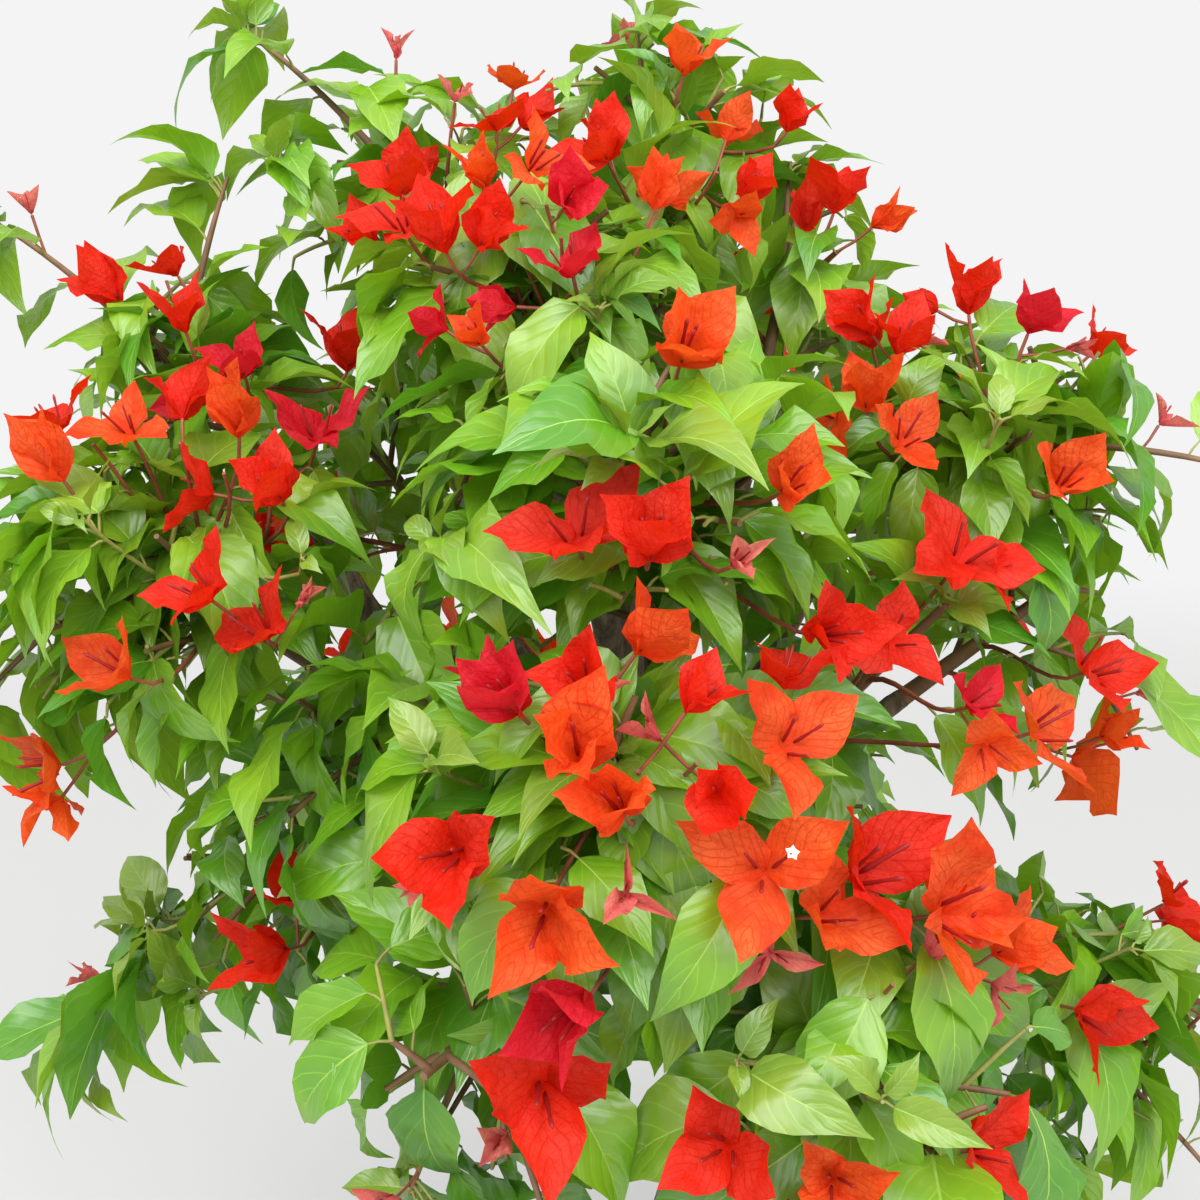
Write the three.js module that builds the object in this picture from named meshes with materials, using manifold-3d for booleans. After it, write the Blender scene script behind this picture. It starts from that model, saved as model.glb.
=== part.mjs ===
// A bougainvillea bonsai in a plain oval pot: one trunk, its boughs, and the flowering masses they carry.
// Millimetres, +Z up. The origin is the middle of the pot's flat underside.
// Azimuths are degrees anticlockwise from +X, seen from above: 0 is right, 90 back, 180 left and 270 front.
import * as THREE from "three";
import { mergeVertices } from "three/addons/utils/BufferGeometryUtils.js";
import Module from "manifold-3d";

const wasm = await Module();
wasm.setup();

// Pot and soil. Radii are those of the short way across, and the oval is drawn out along X.
const POT = {
  oval: 1.28,
  height: 108,
  footRadius: 104,
  footHeight: 9,
  footStep: 6,
  bellyRadius: 128,
  bellyHeight: 62,
  neckRadius: 131,
  rimRadius: 140,
  rimHeight: 13,
  wall: 9,
  floor: 12,
  sides: 28,
};
const SOIL = { top: 102, edgeDrop: 9, crownRadius: 84 };
const CLEARANCE = 0.3;

// Trunk: how far it stands to the side at each height above the soil, and its radii.
const TRUNK = {
  bend: [
    { up: 0, x: 0, y: 0 },
    { up: 34, x: 0, y: 0 },
    { up: 110, x: 12, y: -6 },
    { up: 185, x: 22, y: -14 },
    { up: 240, x: -4, y: -12 },
    { up: 300, x: -30, y: 2 },
  ],
  footRadius: 33,
  tipRadius: 19,
  rootFlare: 24,
  roots: 5,
  flareFades: 0.07,
  sides: 15,
  steps: 15,
};

const BOUGH = { trunkRadius: 10, sideRadius: 7, tipRadius: 4.2, sides: 5, steps: 4 };

// Crown: the axis that reaches are measured from, and the point that every mass grows away from.
const CROWN = { x: -20, y: 0, heart: new THREE.Vector3(-12, -6, 392) };

// Masses of foliage. rise and reach place the middle, and spread is the radius of the space it keeps to.
// on and at say which limb carries its bough and how far along. A shoot is a long twig past that space.
const MASSES = [
  { name: "top", azimuth: 85, reach: 22, rise: 692, spread: 90, on: "trunk", at: 1,
    shoots: [{ azimuth: 150, elevation: 84, length: 60 }] },
  { name: "top_left", azimuth: 158, reach: 108, rise: 684, spread: 88, on: "top", at: 0.55,
    shoots: [{ azimuth: 177, elevation: 50, length: 112 }] },
  { name: "top_right", azimuth: 25, reach: 64, rise: 640, spread: 80, on: "top", at: 0.42,
    shoots: [{ azimuth: 60, elevation: 84, length: 66 }] },
  { name: "left", azimuth: 194, reach: 188, rise: 530, spread: 104, on: "trunk", at: 0.8,
    shoots: [{ azimuth: 190, elevation: -34, length: 84 }] },
  { name: "left_high", azimuth: 177, reach: 186, rise: 598, spread: 82, on: "left", at: 0.6,
    shoots: [
      { azimuth: 184, elevation: 48, length: 114 },
      { azimuth: 10, elevation: 76, length: 104 },
    ] },
  { name: "left_low", azimuth: 184, reach: 156, rise: 400, spread: 86, on: "trunk", at: 0.66,
    shoots: [{ azimuth: 183, elevation: -38, length: 108 }] },
  { name: "front_high", azimuth: 234, reach: 68, rise: 628, spread: 92, on: "top", at: 0.3,
    shoots: [] },
  { name: "front_low", azimuth: 266, reach: 142, rise: 478, spread: 100, on: "trunk", at: 0.86,
    shoots: [] },
  { name: "front", azimuth: 269, reach: 110, rise: 566, spread: 96, on: "front_low", at: 0.5,
    shoots: [{ azimuth: 262, elevation: 24, length: 64 }] },
  { name: "left_middle", azimuth: 207, reach: 128, rise: 472, spread: 98, on: "trunk", at: 0.76,
    shoots: [] },
  { name: "front_left_low", azimuth: 246, reach: 138, rise: 388, spread: 88, on: "front_low", at: 0.34,
    shoots: [
      { azimuth: 300, elevation: -38, length: 76 },
      { azimuth: 200, elevation: -62, length: 60 },
    ] },
  { name: "front_right_low", azimuth: 296, reach: 154, rise: 380, spread: 100, on: "trunk", at: 0.7,
    shoots: [{ azimuth: 302, elevation: -16, length: 80 }] },
  { name: "right", azimuth: 356, reach: 160, rise: 512, spread: 80, on: "trunk", at: 0.92,
    shoots: [{ azimuth: 350, elevation: -52, length: 72 }] },
  { name: "right_high", azimuth: 345, reach: 136, rise: 572, spread: 90, on: "right", at: 0.5,
    shoots: [{ azimuth: 346, elevation: 4, length: 98 }] },
  { name: "right_middle", azimuth: 318, reach: 112, rise: 500, spread: 90, on: "right", at: 0.3,
    shoots: [{ azimuth: 355, elevation: -45, length: 84 }] },
  { name: "right_low", azimuth: 356, reach: 184, rise: 322, spread: 96, on: "trunk", at: 0.58,
    shoots: [
      { azimuth: 2, elevation: 20, length: 100 },
      { azimuth: 330, elevation: -32, length: 84 },
    ] },
  { name: "back", azimuth: 92, reach: 146, rise: 530, spread: 104, on: "trunk", at: 0.9,
    shoots: [{ azimuth: 96, elevation: 22, length: 92 }] },
  { name: "back_left", azimuth: 136, reach: 172, rise: 556, spread: 100, on: "back", at: 0.4,
    shoots: [{ azimuth: 140, elevation: 16, length: 92 }] },
  { name: "back_right", azimuth: 46, reach: 164, rise: 546, spread: 100, on: "trunk", at: 0.97,
    shoots: [{ azimuth: 40, elevation: 20, length: 92 }] },
  { name: "back_high", azimuth: 84, reach: 92, rise: 636, spread: 94, on: "top", at: 0.2,
    shoots: [] },
  { name: "back_left_low", azimuth: 138, reach: 160, rise: 408, spread: 100, on: "trunk", at: 0.74,
    shoots: [{ azimuth: 142, elevation: -24, length: 92 }] },
  { name: "back_low", azimuth: 96, reach: 152, rise: 392, spread: 96, on: "trunk", at: 0.62,
    shoots: [{ azimuth: 92, elevation: -14, length: 84 }] },
  { name: "back_right_low", azimuth: 58, reach: 152, rise: 386, spread: 92, on: "trunk", at: 0.54,
    shoots: [{ azimuth: 54, elevation: -18, length: 92 }] },
];

// Foliage. Leaves and bracts are about a quarter larger than life, because each stands for several.
const STEM = { tipRadius: 1.7, sides: 5, entry: 0.86, end: 0.62 };
const TWIG = {
  radius: 1.5,
  tipRadius: 0.9,
  sides: 3,
  steps: 2,
  perMass: 6,
  reach: 0.66,
  spreadAngle: 62,
  lift: 0.22,
};
const SHOOT = { radius: 1.7, tipRadius: 0.8, steps: 3, leaves: 5, sag: 0.16, width: 80, from: 0.72 };
const LEAF = {
  length: 82,
  width: 50,
  thickness: 2.6,
  widest: 0.4,
  arch: 0.11,
  fold: 0.05,
  perTwig: 3,
  droop: 0.62,
};
const BRACT = { length: 43, rim: [1, 0.82, 0.3, 0.82], thickness: 2.4, opening: 58, stalk: 15 };
const FLOWERING = 0.62;
const SPACE_GAP = 1.2;
const LIMB_GAP = 2.2;
const LIMB_SAMPLES = 60;
const TRIES = 5;
const SEED = 130;

const UP = new THREE.Vector3(0, 0, 1);
const GOLDEN_ANGLE = 137.5;
const BARK = { color: 0x8a7660, roughness: 0.9, metalness: 0 };
const FOLIAGE = { color: 0x4f9a3a, roughness: 0.55, metalness: 0 };
const STONEWARE = { color: 0x7a5a48, roughness: 0.7, metalness: 0 };
const EARTH = { color: 0x4a3a2e, roughness: 1, metalness: 0 };

// A small repeatable stream of numbers from 0 to 1.
function seeded(seed) {
  let state = seed >>> 0;
  return () => {
    state = (state * 1664525 + 1013904223) % 4294967296;
    return state / 4294967296;
  };
}

const radians = THREE.MathUtils.degToRad;
const lerp = THREE.MathUtils.lerp;

function direction(azimuth, elevation) {
  const a = radians(azimuth);
  const e = radians(elevation);
  return new THREE.Vector3(Math.cos(a) * Math.cos(e), Math.sin(a) * Math.cos(e), Math.sin(e));
}

// The closed solid inside a geometry, its shared vertices merged and its empty triangles dropped.
function solidOf(geometry) {
  const bare = geometry.clone();
  bare.deleteAttribute("normal");
  bare.deleteAttribute("uv");
  const merged = mergeVertices(bare);
  const kept = [];
  const index = merged.index.array;
  for (let i = 0; i < index.length; i += 3) {
    const corners = index.slice(i, i + 3);
    if (new Set(corners).size === 3) kept.push(...corners);
  }
  const vertProperties = merged.getAttribute("position").array;
  return new wasm.Manifold(new wasm.Mesh({ numProp: 3, vertProperties, triVerts: new Uint32Array(kept) }));
}

function geometryOf(solid) {
  const mesh = solid.getMesh();
  const geometry = new THREE.BufferGeometry();
  geometry.setAttribute("position", new THREE.BufferAttribute(mesh.vertProperties, 3));
  geometry.setIndex(new THREE.BufferAttribute(mesh.triVerts, 1));
  geometry.computeVertexNormals();
  return geometry;
}

// The largest body of a solid: what a cut leaves loose is dropped.
function mainBody(solid) {
  return solid.decompose().reduce((a, b) => (a.volume() > b.volume() ? a : b));
}

// A limb is a capped cylinder whose rings follow a curve.
// radiusAt takes the share along it and the angle round it.
function limb(curve, radiusAt, sides, steps) {
  const geometry = new THREE.CylinderGeometry(1, 1, 1, sides, steps);
  const frames = curve.computeFrenetFrames(steps);
  const position = geometry.getAttribute("position");
  for (let i = 0; i < position.count; i++) {
    const ring = Math.round((position.getY(i) + 0.5) * steps);
    const radius = radiusAt(ring / steps, Math.atan2(position.getZ(i), position.getX(i)));
    const point = curve
      .getPointAt(ring / steps)
      .addScaledVector(frames.binormals[ring], position.getX(i) * radius)
      .addScaledVector(frames.normals[ring], position.getZ(i) * radius);
    position.setXYZ(i, point.x, point.y, point.z);
  }
  return solidOf(geometry);
}

const taper = (from, to) => (share) => lerp(from, to, share);
const grown = (radiusAt) => (share, angle) => radiusAt(share, angle) + CLEARANCE;

// A blade is an octahedron pressed flat: root and point along its length, two shoulders, and a raised middle.
function blade(shape, root, along, facing) {
  const across = new THREE.Vector3().crossVectors(along, facing).normalize();
  const normal = new THREE.Vector3().crossVectors(across, along).normalize();
  const place = (side, forward, out) =>
    root.clone().addScaledVector(across, side).addScaledVector(along, forward).addScaledVector(normal, out);
  const middle = shape.length * shape.widest;
  const raised = shape.length * shape.arch;
  const folded = shape.length * shape.fold;
  const corners = {
    left: place(-shape.width / 2, middle, raised + folded),
    right: place(shape.width / 2, middle, raised + folded),
    root: root.clone(),
    point: place(0, shape.length, -raised),
    back: place(0, middle * 1.05, raised - shape.thickness / 2),
    face: place(0, middle * 1.05, raised + shape.thickness / 2),
  };
  const geometry = new THREE.OctahedronGeometry(1);
  const position = geometry.getAttribute("position");
  for (let i = 0; i < position.count; i++) {
    const [x, y, z] = [position.getX(i), position.getY(i), position.getZ(i)].map(Math.round);
    const onLength = y < 0 ? corners.root : corners.point;
    const onSide = x < 0 ? corners.left : corners.right;
    const onFace = z < 0 ? corners.back : corners.face;
    const corner = x ? onSide : y ? onLength : onFace;
    position.setXYZ(i, corner.x, corner.y, corner.z);
  }
  return { solid: solidOf(geometry), corners };
}

// Pot: one turned profile, from the axis under the foot round the rim to the axis inside.
function potProfile() {
  const { footRadius, footHeight, footStep, bellyRadius, bellyHeight } = POT;
  const { neckRadius, rimRadius, wall, floor } = POT;
  const rimFoot = POT.height - POT.rimHeight;
  const inside = insideRadius();
  return [
    [0, 0],
    [footRadius, 0],
    [footRadius, footHeight],
    [footRadius + footStep, footHeight + footStep / 2],
    [bellyRadius, bellyHeight],
    [neckRadius, rimFoot],
    [rimRadius, rimFoot + 3],
    [rimRadius, POT.height - 2],
    [rimRadius - 2, POT.height],
    [inside(POT.height), POT.height],
    [inside(bellyHeight), bellyHeight],
    [footRadius - wall / 2, floor],
    [0, floor],
  ];
}

// The radius of the pot's inside wall at a height, straight from floor to belly and from belly to rim.
function insideRadius() {
  const low = POT.footRadius - POT.wall / 2;
  const middle = POT.bellyRadius - POT.wall;
  const high = POT.neckRadius - POT.wall;
  return (height) =>
    height < POT.bellyHeight
      ? THREE.MathUtils.mapLinear(height, POT.floor, POT.bellyHeight, low, middle)
      : THREE.MathUtils.mapLinear(height, POT.bellyHeight, POT.height, middle, high);
}

function turned(profile) {
  const points = profile.map(([radius, height]) => new THREE.Vector2(radius, height));
  const geometry = new THREE.LatheGeometry(points, POT.sides);
  geometry.rotateX(Math.PI / 2);
  geometry.scale(POT.oval, 1, 1);
  return solidOf(geometry);
}

function soilProfile() {
  const inside = insideRadius();
  const edge = SOIL.top - SOIL.edgeDrop;
  const floor = POT.floor + CLEARANCE;
  return [
    [0, floor],
    [inside(POT.floor) - CLEARANCE, floor],
    [inside(POT.bellyHeight) - CLEARANCE, POT.bellyHeight],
    [inside(edge) - CLEARANCE, edge],
    [SOIL.crownRadius, SOIL.top],
    [0, SOIL.top],
  ];
}

// Trunk: it leaves the soil upright and flat-footed, its roots spread in lobes that fade as it rises.
const trunkCurve = new THREE.CatmullRomCurve3(
  TRUNK.bend.map(({ up, x, y }) => new THREE.Vector3(x, y, SOIL.top + CLEARANCE + up)),
  false,
  "catmullrom",
);

function trunkRadius(share, angle) {
  const lobes = 0.62 + 0.38 * Math.cos(TRUNK.roots * angle + 0.8);
  const flare = TRUNK.rootFlare * lobes * Math.exp(-share / TRUNK.flareFades);
  const lumps = 1 + 0.05 * Math.sin(2 * angle + 9 * share) + 0.035 * Math.sin(3 * angle - 14 * share);
  return lerp(TRUNK.footRadius, TRUNK.tipRadius, Math.pow(share, 0.8)) * lumps + flare;
}

// The middle of each mass, the way it grows, and the planes that part it from its neighbours.
for (const [number, mass] of MASSES.entries()) {
  mass.seed = SEED + 37 * number;
  mass.middle = direction(mass.azimuth, 0).multiplyScalar(mass.reach);
  mass.middle.add(new THREE.Vector3(CROWN.x, CROWN.y, mass.rise));
  mass.out = mass.middle.clone().sub(CROWN.heart).normalize();
}
for (const mass of MASSES) {
  mass.walls = MASSES.filter((other) => other !== mass).map((other) => {
    const toOther = other.middle.clone().sub(mass.middle);
    const apart = toOther.length();
    const distance = (apart * apart + mass.spread ** 2 - other.spread ** 2) / (2 * apart);
    return { normal: toOther.normalize(), distance };
  });
}

function withinWalls(mass, point, gap) {
  const offset = point.clone().sub(mass.middle);
  return mass.walls.every((wall) => offset.dot(wall.normal) <= wall.distance - gap);
}

// True where a point is in a mass's own space: its ball, or near one of its shoots, between its walls.
function inSpace(mass, point, gap = SPACE_GAP) {
  if (!withinWalls(mass, point, gap)) return false;
  if (point.distanceTo(mass.middle) <= mass.spread) return true;
  return mass.shootLines.some((line) => {
    const nearest = line.closestPointToPoint(point, true, new THREE.Vector3());
    return nearest.distanceTo(point) <= SHOOT.width;
  });
}

// The stem enters a mass as far in as its own space reaches towards the crown's heart.
function entryOf(mass) {
  const furthest = mass.spread * STEM.entry;
  let depth = 0;
  while (depth < furthest && withinWalls(mass, alongOut(mass, -depth - 1), 4 * SPACE_GAP)) depth += 1;
  return alongOut(mass, -depth);
}

function alongOut(mass, distance) {
  return mass.middle.clone().addScaledVector(mass.out, distance);
}

// Limbs that foliage keeps clear of, as balls along their axes.
const limbBalls = [];

function keepClearOf(curve, radiusAt) {
  for (let i = 0; i <= LIMB_SAMPLES; i++) {
    const share = i / LIMB_SAMPLES;
    limbBalls.push({ centre: curve.getPointAt(share), radius: radiusAt(share, 0) });
  }
}

function clearOfLimbs(point) {
  return limbBalls.every(({ centre, radius }) => point.distanceTo(centre) > radius + LIMB_GAP);
}

const fits = (mass, point) => inSpace(mass, point) && clearOfLimbs(point);

// Boughs: each leaves the axis of what carries it, curves out and up, and ends where it enters its mass.
const limbs = new Map();

function growTrunk() {
  keepClearOf(trunkCurve, trunkRadius);
  limbs.set("trunk", {
    curve: trunkCurve,
    solid: limb(trunkCurve, trunkRadius, TRUNK.sides, TRUNK.steps),
    clearing: limb(trunkCurve, grown(trunkRadius), TRUNK.sides, TRUNK.steps),
  });
}

function growBough(mass) {
  const carrier = limbs.get(mass.on);
  const continues = mass.at === 1;
  const start = carrier.curve.getPointAt(mass.at);
  const heading = carrier.curve.getTangentAt(mass.at);
  if (continues) start.addScaledVector(heading, CLEARANCE);
  const entry = entryOf(mass);
  const span = start.distanceTo(entry);
  const towards = entry.clone().sub(start).normalize();
  const leaving = heading.multiplyScalar(continues ? 1 : 0.7).add(towards).normalize();
  const curve = new THREE.CubicBezierCurve3(
    start,
    start.clone().addScaledVector(leaving, span * 0.36),
    entry.clone().addScaledVector(mass.out, -span * 0.34),
    entry,
  );
  const branchRadius = mass.on === "trunk" ? BOUGH.trunkRadius : BOUGH.sideRadius;
  const startRadius = continues ? TRUNK.tipRadius - 2 : branchRadius;
  const radiusAt = taper(startRadius, BOUGH.tipRadius);
  const cuts = [...limbs.values()].map(({ clearing }) => clearing);
  const solid = mainBody(limb(curve, radiusAt, BOUGH.sides, BOUGH.steps).subtract(wasm.Manifold.union(cuts)));
  keepClearOf(curve, radiusAt);
  limbs.set(mass.name, { curve, solid, clearing: limb(curve, grown(radiusAt), BOUGH.sides, BOUGH.steps) });
}

// A twig or shoot that bends from its heading towards sag, with its carried point at each share along it.
function twigCurve(start, heading, length, sag) {
  const end = start.clone().addScaledVector(heading, length).addScaledVector(UP, -length * sag);
  const bend = start.clone().addScaledVector(heading, length * 0.55);
  return new THREE.QuadraticBezierCurve3(start, bend, end);
}

// The direction that leaves a twig sideways at an angle round it.
function sideways(heading, angle) {
  const upright = Math.abs(heading.z) > 0.95;
  const level = heading.clone().cross(upright ? new THREE.Vector3(1, 0, 0) : UP);
  return level.normalize().applyAxisAngle(heading, radians(angle));
}

// A blade fits where its corners and the points halfway between them are all in its mass's space.
function bladeFits(mass, { left, right, point, face }) {
  const pairs = [
    [left, point],
    [right, point],
    [face, point],
    [left, face],
    [right, face],
  ];
  const halfway = pairs.map(([a, b]) => a.clone().lerp(b, 0.5));
  return [left, right, point, face, ...halfway].every((place) => fits(mass, place));
}

// Leaves and flower heads of a mass don't run through one another.
function crosses(pieces, solid) {
  return pieces.blades.some((other) => !wasm.Manifold.intersection(other, solid).isEmpty());
}

// One leaf hangs out from a twig, its face turned up and away from the crown's heart.
function addLeaf(mass, pieces, random, curve, share, turn, size = 1) {
  const root = curve.getPointAt(share);
  const heading = curve.getTangentAt(share);
  const outward = root.clone().sub(CROWN.heart).normalize();
  for (let attempt = 0; attempt < TRIES; attempt++) {
    const side = sideways(heading, turn + attempt * 67 + 30 * random());
    const along = side
      .addScaledVector(heading, 0.45)
      .addScaledVector(outward, 0.4)
      .addScaledVector(UP, -LEAF.droop * (0.5 + random()))
      .normalize();
    const facing = outward.clone().addScaledVector(UP, 0.9);
    const scale = size * (0.82 + 0.3 * random());
    const shape = { ...LEAF, length: LEAF.length * scale, width: LEAF.width * scale };
    const { solid, corners } = blade(shape, root, along, facing);
    if (!bladeFits(mass, corners) || crosses(pieces, solid)) continue;
    pieces.blades.push(solid);
    return;
  }
}

// A flower head: a flared cone on a short stalk, its rim drawn out into three broad pointed bracts.
function addFlower(mass, pieces, random, root, lean) {
  const outward = root.clone().sub(CROWN.heart).normalize();
  const axis = lean.clone().multiplyScalar(0.5).add(outward).addScaledVector(UP, 0.5 * random()).normalize();
  const length = BRACT.length * (0.85 + 0.3 * random());
  const end = root.clone().addScaledVector(axis, BRACT.stalk);
  const opening = radians(BRACT.opening);
  const side = sideways(axis, 360 * random());
  const across = new THREE.Vector3().crossVectors(axis, side);
  const geometry = new THREE.ConeGeometry(1, 1, BRACT.rim.length * 3);
  const position = geometry.getAttribute("position");
  const rim = [];
  for (let i = 0; i < position.count; i++) {
    const onRim = Math.hypot(position.getX(i), position.getZ(i)) > 0.5;
    const angle = Math.atan2(position.getX(i), position.getZ(i));
    const step = Math.round((angle / (2 * Math.PI) + 1) * BRACT.rim.length * 3) % BRACT.rim.length;
    const reach = onRim ? BRACT.rim[step] * length : 0;
    const rise = onRim ? reach * Math.cos(opening) : position.getY(i) > 0 ? -1 : BRACT.thickness - 1;
    const point = end
      .clone()
      .addScaledVector(axis, rise)
      .addScaledVector(side, -Math.sin(angle) * reach * Math.sin(opening))
      .addScaledVector(across, Math.cos(angle) * reach * Math.sin(opening));
    if (onRim) rim.push(point);
    position.setXYZ(i, point.x, point.y, point.z);
  }
  const head = solidOf(geometry);
  if (![end, ...rim].every((point) => fits(mass, point)) || crosses(pieces, head)) return;
  const stalk = new THREE.LineCurve3(root.clone().addScaledVector(axis, -0.4), end);
  pieces.twigs.push(limb(stalk, taper(TWIG.tipRadius, 1.1), TWIG.sides, 1));
  pieces.blades.push(head);
}

// A side twig stops short of the space's edge, so that its leaves have room.
function addTwig(mass, pieces, random, stem, number) {
  const share = lerp(0.12, 1, (number + 0.6) / TWIG.perMass);
  const start = stem.getPointAt(share);
  const spreadAngle = radians(TWIG.spreadAngle);
  const side = sideways(stem.getTangentAt(share), number * GOLDEN_ANGLE + 40 * random());
  const heading = stem
    .getTangentAt(share)
    .multiplyScalar(Math.cos(spreadAngle))
    .addScaledVector(side, Math.sin(spreadAngle))
    .addScaledVector(UP, TWIG.lift)
    .normalize();
  const longest = mass.spread * TWIG.reach;
  const step = 4;
  const ahead = (distance) => start.clone().addScaledVector(heading, distance);
  let length = 0;
  while (length < longest && fits(mass, ahead(length + 3 * step))) length += step;
  if (length < 5 * step) return;
  const curve = twigCurve(start, heading, length, 0.1);
  pieces.twigs.push(limb(curve, taper(TWIG.radius, TWIG.tipRadius), TWIG.sides, TWIG.steps));
  for (let leaf = 0; leaf < LEAF.perTwig; leaf++) {
    const place = lerp(0.4, 0.97, leaf / (LEAF.perTwig - 1));
    addLeaf(mass, pieces, random, curve, place, leaf * GOLDEN_ANGLE + 360 * random());
  }
  if (random() < FLOWERING) addFlower(mass, pieces, random, curve.getPointAt(0.98), heading);
}

// A long shoot arches out past the ball, with a leaf on each side in turn and a flower head near its end.
function addShoot(mass, pieces, random, curve) {
  pieces.twigs.push(limb(curve, taper(SHOOT.radius, SHOOT.tipRadius), TWIG.sides, SHOOT.steps));
  for (let leaf = 0; leaf < SHOOT.leaves; leaf++) {
    const share = lerp(0.3, 0.98, leaf / (SHOOT.leaves - 1));
    addLeaf(mass, pieces, random, curve, share, leaf * 180 + 40 * random(), lerp(1, 0.72, share));
  }
  addFlower(mass, pieces, random, curve.getPointAt(0.62), curve.getTangentAt(0.62).addScaledVector(UP, 0.5));
}

// One mass: a stem on from its bough, side twigs round it, and its shoots, all fused.
function growMass(mass) {
  const random = seeded(mass.seed);
  const start = limbs.get(mass.name).curve.getPointAt(1).addScaledVector(mass.out, CLEARANCE);
  const stem = new THREE.LineCurve3(start, alongOut(mass, mass.spread * STEM.end));
  const pieces = { twigs: [limb(stem, taper(BOUGH.tipRadius, STEM.tipRadius), STEM.sides, 1)], blades: [] };
  const shootRoot = stem.getPointAt(SHOOT.from);
  const shoots = mass.shoots.map(({ azimuth, elevation, length }) =>
    twigCurve(shootRoot, direction(azimuth, elevation), length, SHOOT.sag),
  );
  mass.shootLines = shoots.map((curve) => new THREE.Line3(shootRoot, curve.getPointAt(1)));
  for (const curve of shoots) addShoot(mass, pieces, random, curve);
  for (let number = 0; number < TWIG.perMass; number++) addTwig(mass, pieces, random, stem, number);
  return mainBody(wasm.Manifold.union([...pieces.twigs, ...pieces.blades]));
}

const bonsai = new THREE.Group();

function addNode(name, solid, finish) {
  const mesh = new THREE.Mesh(geometryOf(solid), new THREE.MeshStandardMaterial(finish));
  mesh.name = name;
  bonsai.add(mesh);
}

growTrunk();
for (const mass of MASSES) growBough(mass);

addNode("pot", turned(potProfile()), STONEWARE);
addNode("soil", turned(soilProfile()), EARTH);
addNode("trunk", limbs.get("trunk").solid, BARK);
for (const mass of MASSES) {
  addNode("bough_" + mass.name, limbs.get(mass.name).solid, BARK);
  addNode("foliage_" + mass.name, growMass(mass), FOLIAGE);
}

export default bonsai;
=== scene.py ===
"""A flowering bougainvillea bonsai: bark, twigs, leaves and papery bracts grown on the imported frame.

The trunk, boughs and masses of foliage follow the same rule as the part's solids, in millimetres.
Here the rule is carried on to finer twigs, with leaves and bracts of life size.
"""

import itertools
import math
import random
from dataclasses import dataclass, field

import bpy
from bpy.props import FloatProperty, FloatVectorProperty, IntProperty, PointerProperty
from mathutils import Matrix, Vector, kdtree, noise


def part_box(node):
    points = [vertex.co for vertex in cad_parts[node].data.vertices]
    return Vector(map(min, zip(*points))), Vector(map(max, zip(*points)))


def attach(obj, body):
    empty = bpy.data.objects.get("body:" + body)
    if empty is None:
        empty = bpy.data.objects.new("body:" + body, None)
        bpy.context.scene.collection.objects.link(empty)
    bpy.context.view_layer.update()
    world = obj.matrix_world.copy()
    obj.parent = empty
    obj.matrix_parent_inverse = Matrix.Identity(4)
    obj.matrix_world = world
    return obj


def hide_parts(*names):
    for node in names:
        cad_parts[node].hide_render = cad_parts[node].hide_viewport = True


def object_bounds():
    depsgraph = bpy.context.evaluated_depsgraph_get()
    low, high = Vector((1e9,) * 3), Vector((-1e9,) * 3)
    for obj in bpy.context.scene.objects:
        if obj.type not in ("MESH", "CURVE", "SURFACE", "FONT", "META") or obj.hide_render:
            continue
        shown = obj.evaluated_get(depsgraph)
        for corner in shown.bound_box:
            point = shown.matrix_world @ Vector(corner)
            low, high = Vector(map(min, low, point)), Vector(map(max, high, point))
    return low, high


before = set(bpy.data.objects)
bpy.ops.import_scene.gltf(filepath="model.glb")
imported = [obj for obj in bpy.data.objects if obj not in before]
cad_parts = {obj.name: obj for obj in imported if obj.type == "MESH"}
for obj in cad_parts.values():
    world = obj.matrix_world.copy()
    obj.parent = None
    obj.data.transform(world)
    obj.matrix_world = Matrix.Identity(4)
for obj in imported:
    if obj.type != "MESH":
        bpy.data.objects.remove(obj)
CAD_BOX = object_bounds()

bl_info = {
    "name": "Bougainvillea Bonsai",
    "version": (1, 0, 0),
    "blender": (4, 5, 0),
    "location": "View3D > Sidebar > Bonsai",
    "description": "Grows a flowering bougainvillea bonsai in its pot",
    "category": "Object",
}

MM = 0.001
UP = Vector((0, 0, 1))
GOLDEN_ANGLE = math.radians(137.5)

# Pot and soil, in millimetres. Radii are those of the short way across, and the oval is drawn out along X.
# The wall rises from the foot ring to the waist and the neck under the rim.
POT_LOW, POT_HIGH = (corner / MM for corner in map(Vector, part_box("pot")))
SOIL_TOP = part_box("soil")[1][2] / MM
OVAL = (POT_HIGH.x - POT_LOW.x) / (POT_HIGH.y - POT_LOW.y)
RIM_RADIUS = (POT_HIGH.y - POT_LOW.y) / 2
FOOT_SHARE, FOOT_HEIGHT, FOOT_STEP, POT_FLOOR = 0.743, 9, 6, 12
WAIST_HEIGHT, WAIST_IN, NECK_IN, NECK_DROP, RIM_DEPTH = 62, 12, 9, 13, 10
POT_EDGE, POT_SIDES, SOIL_SIDES = 2.2, 160, 96
SOIL_DROP, SOIL_FLAT = 7, 0.66
GRAIN_SIZES, GRAINS_WITHIN, TRUNK_CLEARANCE = (1.8, 4.2), 0.96, 1.08

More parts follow.
